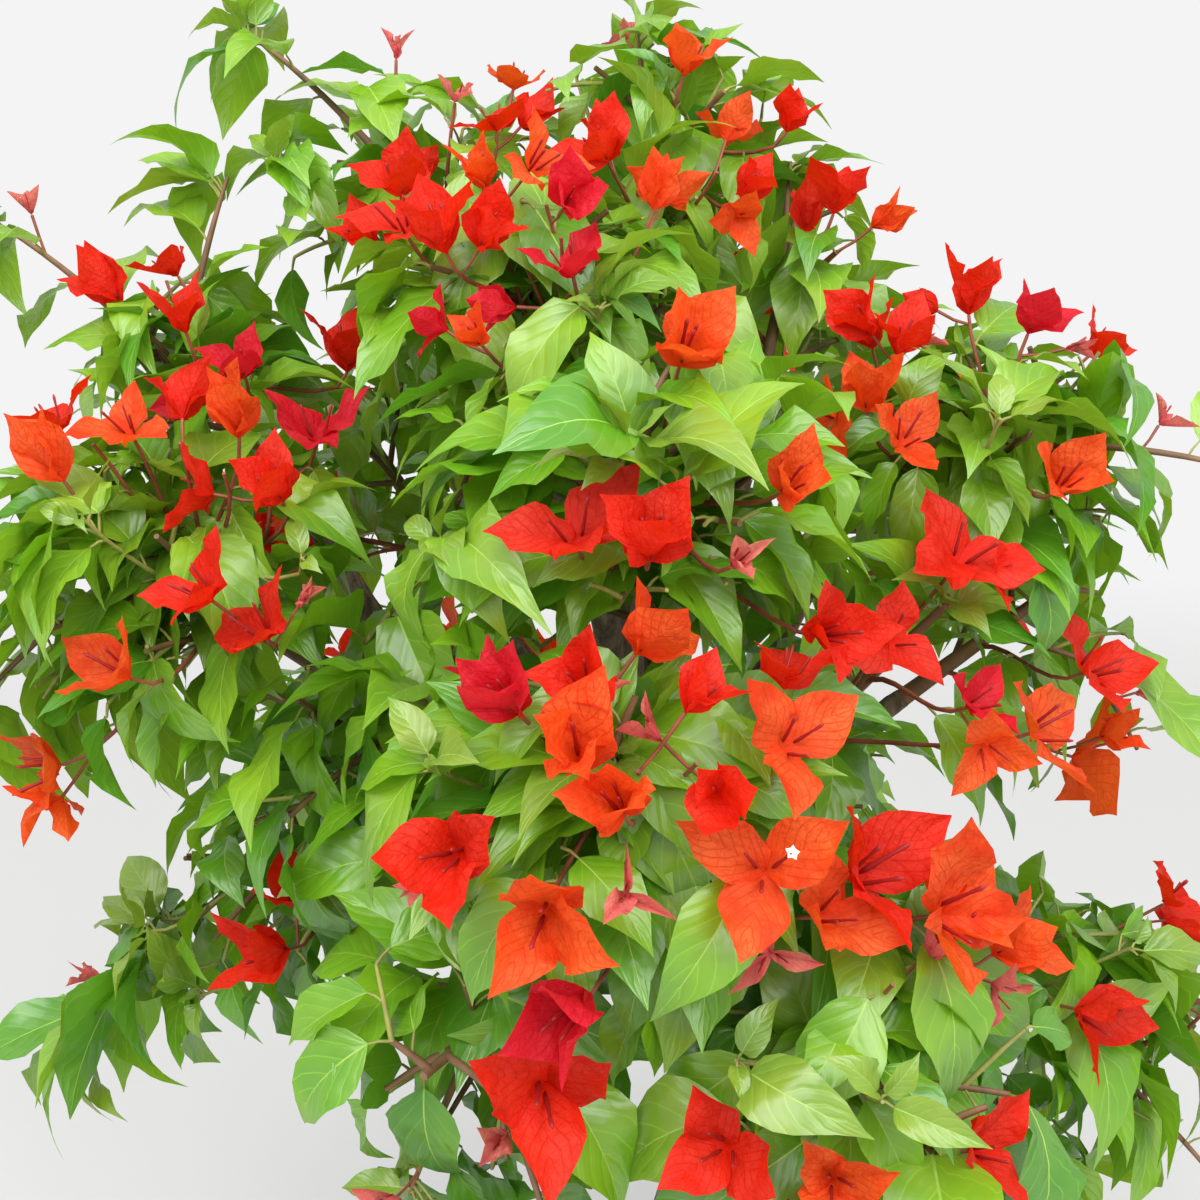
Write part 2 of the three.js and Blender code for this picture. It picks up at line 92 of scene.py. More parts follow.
# Trunk: how far it stands to the side at each height above the soil, and its radii.
TRUNK_BEND = [(0, 0, 0), (0, 0, 34), (12, -6, 110), (22, -14, 185), (-4, -12, 240), (-30, 2, 300)]
TRUNK_FOOT, TRUNK_TIP = 33, 19
ROOT_FLARE, ROOTS, FLARE_FADES = 24, 5, 0.07
BOUGH_ON_TRUNK, BOUGH_ON_BOUGH, BOUGH_TIP = 10, 7, 4.2
BOUGH_LEAN, BOUGH_LEAVES, BOUGH_ARRIVES = 0.7, 0.36, 0.34

# Bark, in millimetres: how wide and long its ridges are, and its broad lumps.
RIDGE_WIDTH, RIDGE_LENGTH, BARK_LUMPS = 6, 26, 30

# The crown's axis, and the point that every mass grows away from.
CROWN_AXIS = Vector((-20, 0, 0))
HEART = Vector((-12, -6, 392))


@dataclass
class Mass:
    """One mass of foliage: its place round the crown's axis, its size and the limb that carries its bough."""

    name: str
    azimuth: float
    reach: float
    rise: float
    spread: float
    on: str
    at: float
    twigs: int
    flowers: float
    shoots: list = field(default_factory=list)


# Shoots are the azimuth, elevation and length of the long twigs that pass the ball of their mass.
# Twigs counts the side twigs, and flowers is the share of them that bloom, beside those in BLOOMS.
MASSES = [
    Mass("top", 85, 22, 692, 90, "trunk", 1, 8, 0.04, [(150, 84, 60)]),
    Mass("top_left", 158, 108, 684, 88, "top", 0.55, 5, 0.03, [(177, 50, 112)]),
    Mass("top_right", 25, 64, 640, 80, "top", 0.42, 8, 0.08, [(60, 84, 66)]),
    Mass("left", 194, 188, 530, 104, "trunk", 0.8, 13, 0.04, [(190, -34, 84)]),
    Mass("left_high", 177, 186, 598, 82, "left", 0.6, 8, 0.04, [(184, 48, 114), (10, 76, 104)]),
    Mass("left_low", 184, 156, 400, 86, "trunk", 0.66, 11, 0.03, [(183, -38, 108)]),
    Mass("front_high", 234, 68, 628, 92, "top", 0.3, 10, 0.02),
    Mass("front_low", 266, 142, 478, 100, "trunk", 0.86, 13, 0.03),
    Mass("front", 269, 110, 566, 96, "front_low", 0.5, 13, 0.02, [(262, 24, 64)]),
    Mass("left_middle", 207, 128, 472, 98, "trunk", 0.76, 13, 0.03),
    Mass("front_left_low", 246, 138, 388, 88, "front_low", 0.34, 11, 0.03, [(300, -38, 76), (200, -62, 60)]),
    Mass("front_right_low", 296, 154, 380, 100, "trunk", 0.7, 13, 0.04, [(302, -16, 80)]),
    Mass("right", 356, 160, 512, 80, "trunk", 0.92, 9, 0.08, [(350, -52, 72)]),
    Mass("right_high", 345, 136, 572, 90, "right", 0.5, 11, 0.05, [(346, 4, 98)]),
    Mass("right_middle", 318, 112, 500, 90, "right", 0.3, 5, 0.04),
    Mass("right_low", 356, 184, 322, 96, "trunk", 0.58, 12, 0.08, [(2, 20, 100), (330, -32, 84)]),
    Mass("back", 92, 146, 530, 104, "trunk", 0.9, 12, 0.4, [(96, 22, 92)]),
    Mass("back_left", 136, 172, 556, 100, "back", 0.4, 12, 0.4, [(140, 16, 92)]),
    Mass("back_right", 46, 164, 546, 100, "trunk", 0.97, 9, 0.4, [(40, 20, 92)]),
    Mass("back_high", 84, 92, 636, 94, "top", 0.2, 12, 0.5),
    Mass("back_left_low", 138, 160, 408, 100, "trunk", 0.74, 12, 0.25, [(142, -24, 92)]),
    Mass("back_low", 96, 152, 392, 96, "trunk", 0.62, 12, 0.25, [(92, -14, 84)]),
    Mass("back_right_low", 58, 152, 386, 92, "trunk", 0.54, 8, 0.25, [(54, -18, 92)]),
]
SIDES = ("top", "left", "front", "right", "back")

# The first three leaf tints are one green with painted shade, a middle tone and painted light; young is the
# real colour of new leaves.
LEAF_PAINTED_SHADE, LEAF_MIDDLE, LEAF_PAINTED_LIGHT, LEAF_YOUNG = range(4)
ORANGE, SCARLET, CRIMSON, PINK = range(4)
WOODY, RED, GREEN = range(3)
FLOWER_TINTS = (ORANGE,) * 5 + (SCARLET,) * 5 + (CRIMSON, PINK)

# Flowering twigs: the azimuth and elevation of each from the middle of its mass, and the tint of its bracts.
BLOOMS = {
    "top": [(281, 39, ORANGE), (255, 10, SCARLET), (298, -1, SCARLET), (321, 21, SCARLET), (289, 7, ORANGE)],
    "top_left": [(352, 54, ORANGE), (292, 41, PINK), (261, -8, SCARLET), (270, 7, SCARLET), (251, 72, PINK),
                 (307, 30, SCARLET)],
    "top_right": [(296, 47, SCARLET)],
    "left": [(336, 50, CRIMSON), (301, 54, ORANGE), (255, 56, ORANGE), (196, 52, SCARLET), (308, 34, SCARLET),
             (266, -7, ORANGE), (218, -42, ORANGE), (286, 11, SCARLET), (239, 52, SCARLET), (277, 53, ORANGE),
             (305, 42, ORANGE), (298, 1, SCARLET), (292, 43, SCARLET), (238, 40, ORANGE)],
    "left_high": [(202, 75, SCARLET), (208, 70, ORANGE), (199, 52, SCARLET), (269, 38, SCARLET),
                  (292, 21, CRIMSON), (340, 21, SCARLET)],
    "left_low": [(276, -9, SCARLET)],
    "front_high": [(240, 56, ORANGE), (271, 49, CRIMSON), (321, 48, ORANGE), (238, 32, SCARLET),
                   (279, 25, CRIMSON), (254, 7, ORANGE), (276, 37, SCARLET), (205, 40, SCARLET)],
    "front_low": [(239, 35, CRIMSON), (257, 42, SCARLET), (257, 26, ORANGE), (268, 16, ORANGE),
                  (289, 20, SCARLET), (310, 26, ORANGE), (299, 1, ORANGE), (333, -11, SCARLET),
                  (230, 3, SCARLET), (252, -5, ORANGE), (320, -16, ORANGE), (268, -1, PINK),
                  (304, -20, PINK), (260, -28, CRIMSON), (271, 25, SCARLET), (285, 26, ORANGE)],
    "front": [(280, 55, ORANGE), (251, 8, SCARLET), (268, 5, SCARLET), (302, 19, ORANGE), (287, 3, PINK),
              (315, -17, SCARLET)],
    "front_left_low": [(284, 7, SCARLET)],
    "front_right_low": [(304, 55, ORANGE), (277, 41, SCARLET), (237, 1, SCARLET)],
    "right": [(312, -56, ORANGE), (283, -6, SCARLET)],
    "right_high": [(217, 53, SCARLET), (236, 22, ORANGE), (159, 89, SCARLET), (299, 65, CRIMSON),
                   (283, 9, ORANGE), (192, 55, SCARLET), (234, 35, SCARLET), (220, 31, ORANGE)],
    "right_middle": [(269, 28, SCARLET), (291, 9, CRIMSON), (318, -3, ORANGE), (307, 51, SCARLET)],
    "right_low": [(0, 46, SCARLET), (265, 31, SCARLET)],
}

# Leafy twigs that end in a whorl, by azimuth and elevation from the middle of their mass.
SPRAYS = {
    "top_left": [(215, 20)],
    "left": [(253, 30), (308, 19)],
    "left_low": [(206, -16), (195, -40), (178, -24), (216, -44)],
    "front_high": [(285, 16)],
    "front_low": [(217, 20)],
    "front": [(275, 21), (207, 4)],
    "front_right_low": [(238, 21), (271, 17)],
    "right_high": [(344, 50), (266, 29)],
    "right_low": [(293, 47)],
}

# Openings between the boughs where the sky shows: both ends of each one's middle line, and its radius.
OPENINGS = [
    (Vector((74, -134, 515)), Vector((158, 233, 413)), 17),
    (Vector((68, -142, 479)), Vector((146, 219, 350)), 11),
    (Vector((146, -147, 456)), Vector((282, 211, 310)), 21),
    (Vector((157, -141, 482)), Vector((302, 221, 356)), 19),
]

# Growth, in millimetres or as shares of the mass's radius or the twig's length.
STEM_ENTRY, STEM_END, STEM_TIP, ENTRY_GAP = 0.86, 0.62, 1.7, 4.8
SHOOT_WIDTH, SHOOT_SAG, SHOOT_FROM = 58, 0.16, 0.72
TWIG_REACH, TWIG_ANGLE, TWIG_LIFT = 0.66, math.radians(62), 0.22
INTERNODE, SHOOT_INTERNODE = 14, 18
WALL_OVERLAP = 10
SEED = 119

# Outlines of the blades: share along the length, and half the width there, as a share of the length.
LEAF_OUTLINE = [(0, 0.004), (0.03, 0.075), (0.09, 0.168), (0.19, 0.246), (0.32, 0.284), (0.46, 0.276),
                (0.6, 0.228), (0.73, 0.155), (0.84, 0.08), (0.93, 0.03), (1, 0.003)]
BRACT_OUTLINE = [(0, 0.015), (0.05, 0.11), (0.13, 0.23), (0.25, 0.335), (0.39, 0.378), (0.54, 0.355),
                 (0.68, 0.275), (0.8, 0.17), (0.91, 0.07), (1, 0.003)]
LEAF_RIB, BRACT_RIB, RIPPLE = 0.014, 0.01, 0.26

# Turned shapes: place along the length, and the radius there, as shares of the length.
GRAIN_RINGS = [(-0.5, 0.2), (-0.2, 0.52), (0.25, 0.46), (0.5, 0.18)]
TUBE_RINGS = [(0, 0.03), (0.2, 0.048), (0.65, 0.032), (0.9, 0.046), (1, 0.02)]
STAR_RINGS = [(0, 0.05), (0.06, 0.15), (0.1, 0.16), (0.08, 0.09), (0, 0.03)]
STAR_NOTCH = 0.62

# Radii of each kind of twig and stalk at its two ends.
OUTER_TWIG, SHOOT_TWIG, SIDE_TWIG, FINE_TWIG = (1.3, 0.7), (2.0, 0.9), (1.7, 1.1), (1.15, 0.75)
LEAF_STALK, HEAD_STALK = (0.75, 0.5), (0.6, 0.7)
SHORTEST_SIDE_TWIG, SHORTEST_FINE_TWIG, FINE_LENGTHS = 20, 12, (34, 62)

# Room: what a twig leaves for its leaves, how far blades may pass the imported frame's box, how close
# they may come to limbs and to each other, and how deep heads and whorls sit in their mass. Twigs feel
# their way in steps, freely over their start, and stay off below their shortest length.
RESERVE, REACH_MARGIN, LIMB_CLEARANCE = 34, 6, 2
TWIG_STEP, TWIG_START, TWIG_SHORTEST, SHALLOWEST = 4, 12, 16, 24
LEAF_GAP, BRACT_GAP, LEAF_TO_BRACT, LEAF_TO_VIEW = 4.5, 3.6, 8, 10
HEAD_DEPTH, SPRAY_DEPTH = 16, 12
LEAF_TRIES, HEAD_TRIES = 6, 8

# Leaves: size by height, spread of sizes and bends, and where sprays turn from painted shade to painted
# light.
LARGEST, SMALLEST, SIZE_FALL, FALL_FROM, FALL_OVER = 1.12, 0.8, 0.34, 390, 320
LEAF_SIZES, LEAF_CURL, LEAF_FOLD, LEAF_TWIST = (0.72, 1.2), (0.5, 1.55), (0.1, 0.75), (-0.7, 0.7)
LEAF_STALK_SHARE, PAINTED_SHADE_BELOW, MIDDLE_BELOW = 0.17, 0.4, 1
WHORL_YOUNG, WHORL_LONG = 6, 5

# Heads: how far they open in degrees, and the spread of sizes and bends of their bracts.
HEAD_OPENING, HEAD_SIZES, YOUNG_HEAD = (18, 66), (0.75, 1.15), 0.55
BRACT_SIZES, BRACT_CURL, BRACT_FOLD, YOUNG_FOLD = (0.9, 1.08), (-0.45, 0.65), (0.15, 0.7), (0.9, 1.3)
BRACT_TWIST, TUBE_LENGTHS = (-0.4, 0.4), (0.42, 0.56)

# Chances that a bloom has one head alone, an axil of a shoot or a fine twig flowers, a leaf has its own
# tint, a bract has no tube and a tube is open.
LONE_HEAD, SHOOT_FLOWERS, FINE_FLOWERS, OWN_TINT, NO_TUBE, OPEN_TUBE = 0.55, 0.3, 0.35, 0.3, 0.15, 0.012

# Stage, in metres: the soft lights' places and widths, the point they face, the point that the camera
# faces, and the floor's rings and where it fades.
KEY_PLACE, KEY_WIDTH = (-0.75, -1.1, 1.85), 1.4
FILL_PLACE, FILL_WIDTH = (0.8, -1.2, 1.65), 1.3
LIT_PLACE, CROWN_MIDDLE = Vector((0, 0, 0.5)), Vector((-40, 0, 520)) * MM
FLOOR_RINGS, FLOOR_SIDES, FLOOR_FADES = (0.6, 1.4, 2.6, 4.0), 96, (0.7, 3.2)


def linear(hex_colour):
    """The linear colour of an sRGB hex value."""
    channels = [int(hex_colour[i : i + 2], 16) / 255 for i in (1, 3, 5)]
    return tuple(c / 12.92 if c <= 0.04045 else ((c + 0.055) / 1.055) ** 2.4 for c in channels)


def colour_property(name, description, hex_colour):
    return FloatVectorProperty(
        name=name, description=description, subtype="COLOR", size=3, min=0, max=1, default=linear(hex_colour)
    )


def length_property(name, description, millimetres):
    return FloatProperty(name=name, description=description, default=millimetres * MM, unit="LENGTH")


def angle_property(name, description, degrees):
    return FloatProperty(
        name=name, description=description, default=math.radians(degrees), subtype="ANGLE"
    )


class BonsaiLeafSettings(bpy.types.PropertyGroup):
    length: length_property("Length", "Usual length of a leaf", 62)
    droop: FloatProperty(
        name="Droop", description="How far leaves hang down", default=0.6, min=0, max=2, subtype="FACTOR"
    )
    # Deep, middle and bright are one leaf green with painted shade, a middle tone and painted light.
    deep: colour_property("Deep", "Leaves inside the crown", "#5b9722")
    middle: colour_property("Middle", "Full-grown leaves", "#76ab20")
    bright: colour_property("Bright", "Leaves in the light", "#7fac2c")
    young: colour_property("Young", "Leaves at the ends of shoots", "#80a135")
    rib: colour_property("Rib", "Midrib of a leaf", "#90b34c")


class BonsaiBractSettings(bpy.types.PropertyGroup):
    length: length_property("Length", "Usual length of a bract", 33)
    orange: colour_property("Orange", "Freshly opened bracts", "#ee5216")
    scarlet: colour_property("Scarlet", "Full-coloured bracts", "#e82805")
    crimson: colour_property("Crimson", "Older bracts", "#d8182a")
    pink: colour_property("Pink", "Young bracts that are still small", "#de7071")
    tube: colour_property("Tube", "Tubes of the small flowers", "#92140f")
    star: colour_property("Star", "Open ends of the small flowers", "#f6efdc")


class BonsaiWoodSettings(bpy.types.PropertyGroup):
    bark: colour_property("Bark", "Bark of the trunk and boughs", "#8f7d69")
    fissure: colour_property("Fissure", "Cracks in the bark", "#4e4034")
    woody: colour_property("Woody twig", "Twigs that have turned brown", "#77583c")
    red: colour_property("Red twig", "Twigs that carry flowers", "#8e4c38")
    green: colour_property("Green twig", "Young twigs and stalks", "#8a8d45")
    relief: length_property("Relief", "Depth of the bark", 1.6)


class BonsaiPotSettings(bpy.types.PropertyGroup):
    wall: length_property("Wall", "Thickness of the pot's wall", 9)
    clay: colour_property("Clay", "Fired clay of the pot", "#7a5a48")
    speckle: colour_property("Speckle", "Dark grains in the clay", "#4a362b")
    soil: colour_property("Soil", "Damp potting mix", "#4b3828")
    grit: colour_property("Grit", "Baked clay grains on the soil", "#8d6a4a")
    grains: IntProperty(name="Grains", description="Grains that lie on the soil", default=1500, min=0)


class BonsaiStageSettings(bpy.types.PropertyGroup):
    floor: colour_property("Floor", "Plain pale floor", "#d0d0cf")
    sky: colour_property("Surround", "Even pale surround", "#f4f4f4")
    view_angle: angle_property("View angle", "Camera's angle of view", 45)
    distance: length_property("Distance", "From the camera to the crown", 650)
    tilt: angle_property("Tilt", "How far the camera looks down", 12)
    key: FloatProperty(
        name="Key light", description="Power of the large soft light", default=33, unit="POWER"
    )
    fill: FloatProperty(
        name="Fill light", description="Power of the soft light on the other side", default=28, unit="POWER"
    )


# Paths


class Path:
    """A line through points, with places on it by share of its length."""

    def __init__(self, points):
        self.points = points
        self.reached = [0.0]
        for before, after in zip(points, points[1:]):
            self.reached.append(self.reached[-1] + (after - before).length)
        self.length = self.reached[-1]

    def span(self, share):
        wanted = min(max(share, 0), 1) * self.length
        i = 0
        while i < len(self.points) - 2 and self.reached[i + 1] < wanted:
            i += 1
        return i, wanted

    def at(self, share):
        i, wanted = self.span(share)
        step = self.reached[i + 1] - self.reached[i]
        return self.points[i].lerp(self.points[i + 1], (wanted - self.reached[i]) / step)

    def heading(self, share):
        i, _ = self.span(share)
        return (self.points[i + 1] - self.points[i]).normalized()


def bezier(corners, steps):
    """A Bezier curve of any degree as a path."""
    points = []
    for step in range(steps + 1):
        left = list(corners)
        while len(left) > 1:
            left = [a.lerp(b, step / steps) for a, b in zip(left, left[1:])]
        points.append(left[0])
    return Path(points)


def spline(knots, steps):
    """A curve through knots, each span bent by its neighbours."""
    ends = [2 * knots[0] - knots[1], *knots, 2 * knots[-1] - knots[-2]]
    points = []
    for a, b, c, d in zip(ends, ends[1:], ends[2:], ends[3:]):
        for step in range(steps):
            t = step / steps
            leave, arrive = (c - a) / 2, (d - b) / 2
            points.append(
                b * (2 * t**3 - 3 * t**2 + 1) + leave * (t**3 - 2 * t**2 + t)
                + c * (3 * t**2 - 2 * t**3) + arrive * (t**3 - t**2)
            )
    return Path([*points, knots[-1]])


def direction(azimuth, elevation):
    a, e = math.radians(azimuth), math.radians(elevation)
    return Vector((math.cos(a) * math.cos(e), math.sin(a) * math.cos(e), math.sin(e)))


def sideways(heading, angle):
    """The direction that leaves a twig squarely at an angle round it."""
    level = heading.cross(Vector((1, 0, 0)) if abs(heading.z) > 0.95 else UP).normalized()
    return Matrix.Rotation(angle, 3, heading) @ level


def bent_twig(start, heading, length, sag, steps=6):
    """A twig that leaves straight and sags towards its end."""
    end = start + heading * length - UP * length * sag
    return bezier([start, start + heading * length * 0.55, end], steps)


# Limbs and the spaces of the masses, as in the part's source


def trunk_radius(share, angle):
    """The trunk's radius at a share of its length and an angle round it: taper, lumps and root flare."""
    lobes = 0.62 + 0.38 * math.cos(ROOTS * angle + 0.8)
    flare = ROOT_FLARE * lobes * math.exp(-share / FLARE_FADES)
    lumps = 1 + 0.05 * math.sin(2 * angle + 9 * share) + 0.035 * math.sin(3 * angle - 14 * share)
    return (TRUNK_FOOT + (TRUNK_TIP - TRUNK_FOOT) * share**0.8) * lumps + flare


def place_masses():
    """Works out each mass's middle, the way it grows and the walls that part it from its neighbours."""
    for number, mass in enumerate(MASSES):
        mass.chance = random.Random(SEED + 37 * number)
        mass.middle = CROWN_AXIS + direction(mass.azimuth, 0) * mass.reach + UP * mass.rise
        mass.out = (mass.middle - HEART).normalized()
        mass.side = mass.name.split("_")[0]
        mass.shoot_lines = []
    for mass in MASSES:
        mass.walls = []
        for other in MASSES:
            if other is not mass:
                to_other = other.middle - mass.middle
                apart = to_other.length
                distance = (apart**2 + mass.spread**2 - other.spread**2) / (2 * apart)
                mass.walls.append((to_other.normalized(), distance))


def within_walls(mass, point, gap):
    offset = point - mass.middle
    return all(offset.dot(normal) <= distance - gap for normal, distance in mass.walls)


def near_line(point, start, end):
    along = end - start
    share = min(max((point - start).dot(along) / along.length_squared, 0), 1)
    return (point - start - along * share).length


def in_space(mass, point, on_shoot):
    """True in the ball of a mass, or for what grows on a shoot also near that, between the mass's walls."""
    if not within_walls(mass, point, -WALL_OVERLAP):
        return False
    if (point - mass.middle).length <= mass.spread:
        return True
    return on_shoot and any(near_line(point, start, end) <= SHOOT_WIDTH for start, end in mass.shoot_lines)


def in_opening(point):
    return any(near_line(point, start, end) <= radius for start, end, radius in OPENINGS)


def entry_of(mass):
    """Where a bough ends and the stem of its mass begins."""
    deepest, depth = mass.spread * STEM_ENTRY, 0
    while depth < deepest and within_walls(mass, mass.middle - mass.out * (depth + 1), ENTRY_GAP):
        depth += 1
    return mass.middle - mass.out * depth


def grow_limbs():
    """The paths of the trunk and of each bough, with the radii at their ends."""
    foot = UP * SOIL_TOP
    limbs = {"trunk": (spline([Vector(place) + foot for place in TRUNK_BEND], 16), TRUNK_FOOT, TRUNK_TIP)}
    for mass in MASSES:
        carrier = limbs[mass.on][0]
        start, heading, entry = carrier.at(mass.at), carrier.heading(mass.at), entry_of(mass)
        goes_on = mass.at == 1
        span = (entry - start).length
        leaving = (heading * (1 if goes_on else BOUGH_LEAN) + (entry - start).normalized()).normalized()
        arriving = entry - mass.out * span * BOUGH_ARRIVES
        path = bezier([start, start + leaving * span * BOUGH_LEAVES, arriving, entry], 24)
        at_trunk = BOUGH_ON_TRUNK if mass.on == "trunk" else BOUGH_ON_BOUGH
        limbs[mass.name] = (path, TRUNK_TIP - 2 if goes_on else at_trunk, BOUGH_TIP)
    return limbs


# Growth of twigs, leaves and flower heads


class Places:
    """Points that blades already fill, kept in cells so that near ones are found quickly."""

    CELL = 16

    def __init__(self):
        self.cells = {}

    def cell(self, point):
        return tuple(int(place // self.CELL) for place in point)

    def mark(self, points):
        for point in points:
            self.cells.setdefault(self.cell(point), []).append(point)

    def crowded(self, points, gap):
        for point in points:
            ranges = [(i - 1, i, i + 1) for i in self.cell(point)]
            for cell in itertools.product(*ranges):
                if any((other - point).length < gap for other in self.cells.get(cell, ())):
                    return True
        return False


@dataclass
class Blade:
    """A leaf, bract or small flower: its root, the way it points and faces, and how it bends."""

    side: str
    root: Vector
    along: Vector
    facing: Vector
    length: float
    tint: int = 0
    curl: float = 0.0
    fold: float = 0.0
    twist: float = 0.0

    def axes(self):
        across = self.along.cross(self.facing).normalized()
        return across, self.along, across.cross(self.along)

    def samples(self, half_width):
        """Points down its middle and out to its sides."""
        across, along, normal = self.axes()

        def down(u):
            bent = along * (u - self.curl**2 * u**3 / 6) - normal * self.curl * u**2 / 2
            return self.root + bent * self.length

        aside = across * half_width * self.length * 0.75
        middle = [down(0.3), down(0.55), down(0.8), down(1.0)]
        return middle + [down(u) + aside * way for u in (0.25, 0.55) for way in (-1, 1)]


@dataclass
class Twig:
    """A twig or stalk: its line and its radius at either end."""

    side: str
    points: list
    thick: float
    thin: float
    tint: int


@dataclass
class Bud:
    """Where a leaf may open: its place and turn on a twig, its tint, its size and how far it hangs."""

    mass: Mass
    twig: Path
    share: float
    turn: float
    tint: int
    size: float = 1.0
    hang: float = 1.0
    on_shoot: bool = False


def size_at(height):
    """Leaves and bracts are largest low in the crown and smallest at its top."""
    return min(max(LARGEST - SIZE_FALL * (height - FALL_FROM) / FALL_OVER, SMALLEST), LARGEST)


class Plant:
    """All that grows on the limbs. Flower heads take their places first, and leaves grow between them."""

    def __init__(self, leaf_length, bract_length, droop):
        self.leaf_length, self.bract_length, self.droop = leaf_length, bract_length, droop
        self.twigs, self.stalks, self.leaves, self.bracts, self.tubes, self.stars = ([] for _ in range(6))
        self.leaf_places, self.bract_places, self.open_air = Places(), Places(), Places()
        self.tip_buds, self.side_buds = [], []
        self.limbs = grow_limbs()
        places, steps = [], 40
        for path, thick, thin in self.limbs.values():
            places += [
                (path.at(i / steps), thick + (thin - thick) * i / steps) for i in range(steps + 1)
            ]
        self.radii = [radius for _, radius in places]
        self.near = kdtree.KDTree(len(places))
        for i, (place, _) in enumerate(places):
            self.near.insert(place, i)
        self.near.balance()

    def grow(self):
        for mass in MASSES:
            self.grow_mass(mass)
        for bud in self.tip_buds + self.side_buds:
            self.open_leaf(bud)

    def in_reach(self, point):
        low, high = (Vector(corner) / MM for corner in CAD_BOX)
        return all(a - REACH_MARGIN < b < c + REACH_MARGIN for a, b, c in zip(low, point, high))

    def fits(self, mass, point, on_shoot=False):
        """True where a point is in its mass's space, within the crown's reach and clear of the limbs."""
        _, index, distance = self.near.find(point)
        clear = distance > self.radii[index] + LIMB_CLEARANCE
        return clear and self.in_reach(point) and in_space(mass, point, on_shoot)

    def grow_mass(self, mass):
        path = self.limbs[mass.name][0]
        stem = Path([path.points[-1], mass.middle + mass.out * mass.spread * STEM_END])
        self.twigs.append(Twig(mass.side, stem.points, BOUGH_TIP, STEM_TIP, WOODY))
        root = stem.at(SHOOT_FROM)
        shoots = [bent_twig(root, direction(a, e), length, SHOOT_SAG, 10) for a, e, length in mass.shoots]
        mass.shoot_lines = [(shoot.points[0], shoot.points[-1]) for shoot in shoots]
        for azimuth, elevation, tint in BLOOMS.get(mass.name, ()):
            self.grow_bloom(mass, stem, direction(azimuth, elevation), tint)
        for azimuth, elevation in SPRAYS.get(mass.name, ()):
            self.grow_spray(mass, stem, direction(azimuth, elevation))
        for shoot in shoots:
            self.grow_shoot(mass, shoot)
        for number in range(mass.twigs):
            self.grow_side_twig(mass, stem, number)
        if not shoots:
            self.add_whorl(mass, stem)

    def outermost(self, mass, way, reserve):
        """The point of a mass's space that lies furthest in one direction from its middle, less a reserve."""
        depth = mass.spread - reserve
        while depth > SHALLOWEST and not self.fits(mass, mass.middle + way * depth):
            depth -= TWIG_STEP
        return mass.middle + way * depth

    def outer_twig(self, mass, stem, end, arriving, tint):
        """A leafy twig that leaves the stem and bends round to arrive at the outside of the mass."""
        start = stem.at(mass.chance.uniform(0.15, 0.7))
        span = (end - start).length
        twig = bezier([start, start + stem.heading(1) * span * 0.3, end - arriving * span * 0.3, end], 8)
        self.twigs.append(Twig(mass.side, twig.points, *OUTER_TWIG, tint))
        spray = self.spray_light_tint(end, mass.chance)
        nodes = max(2, round(twig.length / (INTERNODE * size_at(end.z))))
        for node in range(1, nodes):
            self.side_buds.append(Bud(mass, twig, node / nodes, node * GOLDEN_ANGLE, spray, 0.95))
        return twig

    def grow_bloom(self, mass, stem, way, tint):
        """A flowering twig with a head at its end, and often a second one beside it."""
        chance = mass.chance
        end = self.outermost(mass, way, HEAD_DEPTH)
        lean = Vector([chance.uniform(-0.5, 0.5) for _ in range(3)])
        axis = ((end - HEART).normalized() + way * 0.5 + UP * 0.2 + lean).normalized()
        twig = self.outer_twig(mass, stem, end, axis, RED)
        length = self.bract_length * size_at(end.z)
        self.add_head(mass, end, end, axis, length, tint)
        if tint == PINK or chance.random() < LONE_HEAD:
            return
        onward = axis * chance.uniform(0.3, 0.8)
        beside = (onward + sideways(axis, chance.uniform(0, math.tau))).normalized()
        near_tints = (tint, tint, tint, ORANGE, SCARLET, CRIMSON, PINK)
        root = twig.at(chance.uniform(0.84, 0.95))
        place = root + beside * chance.uniform(16, 28) * size_at(end.z)
        self.add_head(mass, root, place, beside, length * 0.88, chance.choice(near_tints))

    def grow_spray(self, mass, stem, way):
        """A leafy twig that ends in a whorl, with its longest leaves hanging just under it."""
        end = self.outermost(mass, way, SPRAY_DEPTH)
        axis = ((end - HEART).normalized() + way * 0.5 + UP * 0.5).normalized()
        self.add_whorl(mass, self.outer_twig(mass, stem, end, axis, GREEN))

    def grow_shoot(self, mass, shoot):
        """A long young twig: spaced leaves round it, small heads in some axils and a whorl at its end."""
        chance = mass.chance
        self.twigs.append(Twig(mass.side, shoot.points, *SHOOT_TWIG, WOODY))
        nodes = int(shoot.length / SHOOT_INTERNODE)
        for node in range(2, nodes + 1):
            share = node / (nodes + 0.5)
            # Shoot leaves get the painted light tint, and those near the end the young tint.
            tint = LEAF_YOUNG if share > 0.8 else LEAF_PAINTED_LIGHT
            size = 1.15 - 0.25 * share
            self.tip_buds.append(Bud(mass, shoot, share, node * GOLDEN_ANGLE, tint, size, on_shoot=True))
            if chance.random() < SHOOT_FLOWERS:
                self.add_panicle(mass, shoot, share, (PINK, PINK, SCARLET), 1)
        self.add_whorl(mass, shoot)

    def add_whorl(self, mass, twig):
        """Long hanging leaves under the end of a twig, and small young ones crowded round it."""
        tint = self.spray_light_tint(twig.at(1), mass.chance)
        for number in range(WHORL_YOUNG):
            share, size, turn = 0.97 + 0.005 * number, 0.62 - 0.07 * number, number * GOLDEN_ANGLE
            self.tip_buds.append(Bud(mass, twig, share, turn, LEAF_YOUNG, size, -0.3, True))
        for number in range(WHORL_LONG):
            share, size = 0.9 + 0.012 * number, 1.08 - 0.04 * number
            turn = number * math.tau / WHORL_LONG + mass.chance.uniform(-0.4, 0.4)
            self.tip_buds.append(Bud(mass, twig, share, turn, tint, size, 1.3, True))

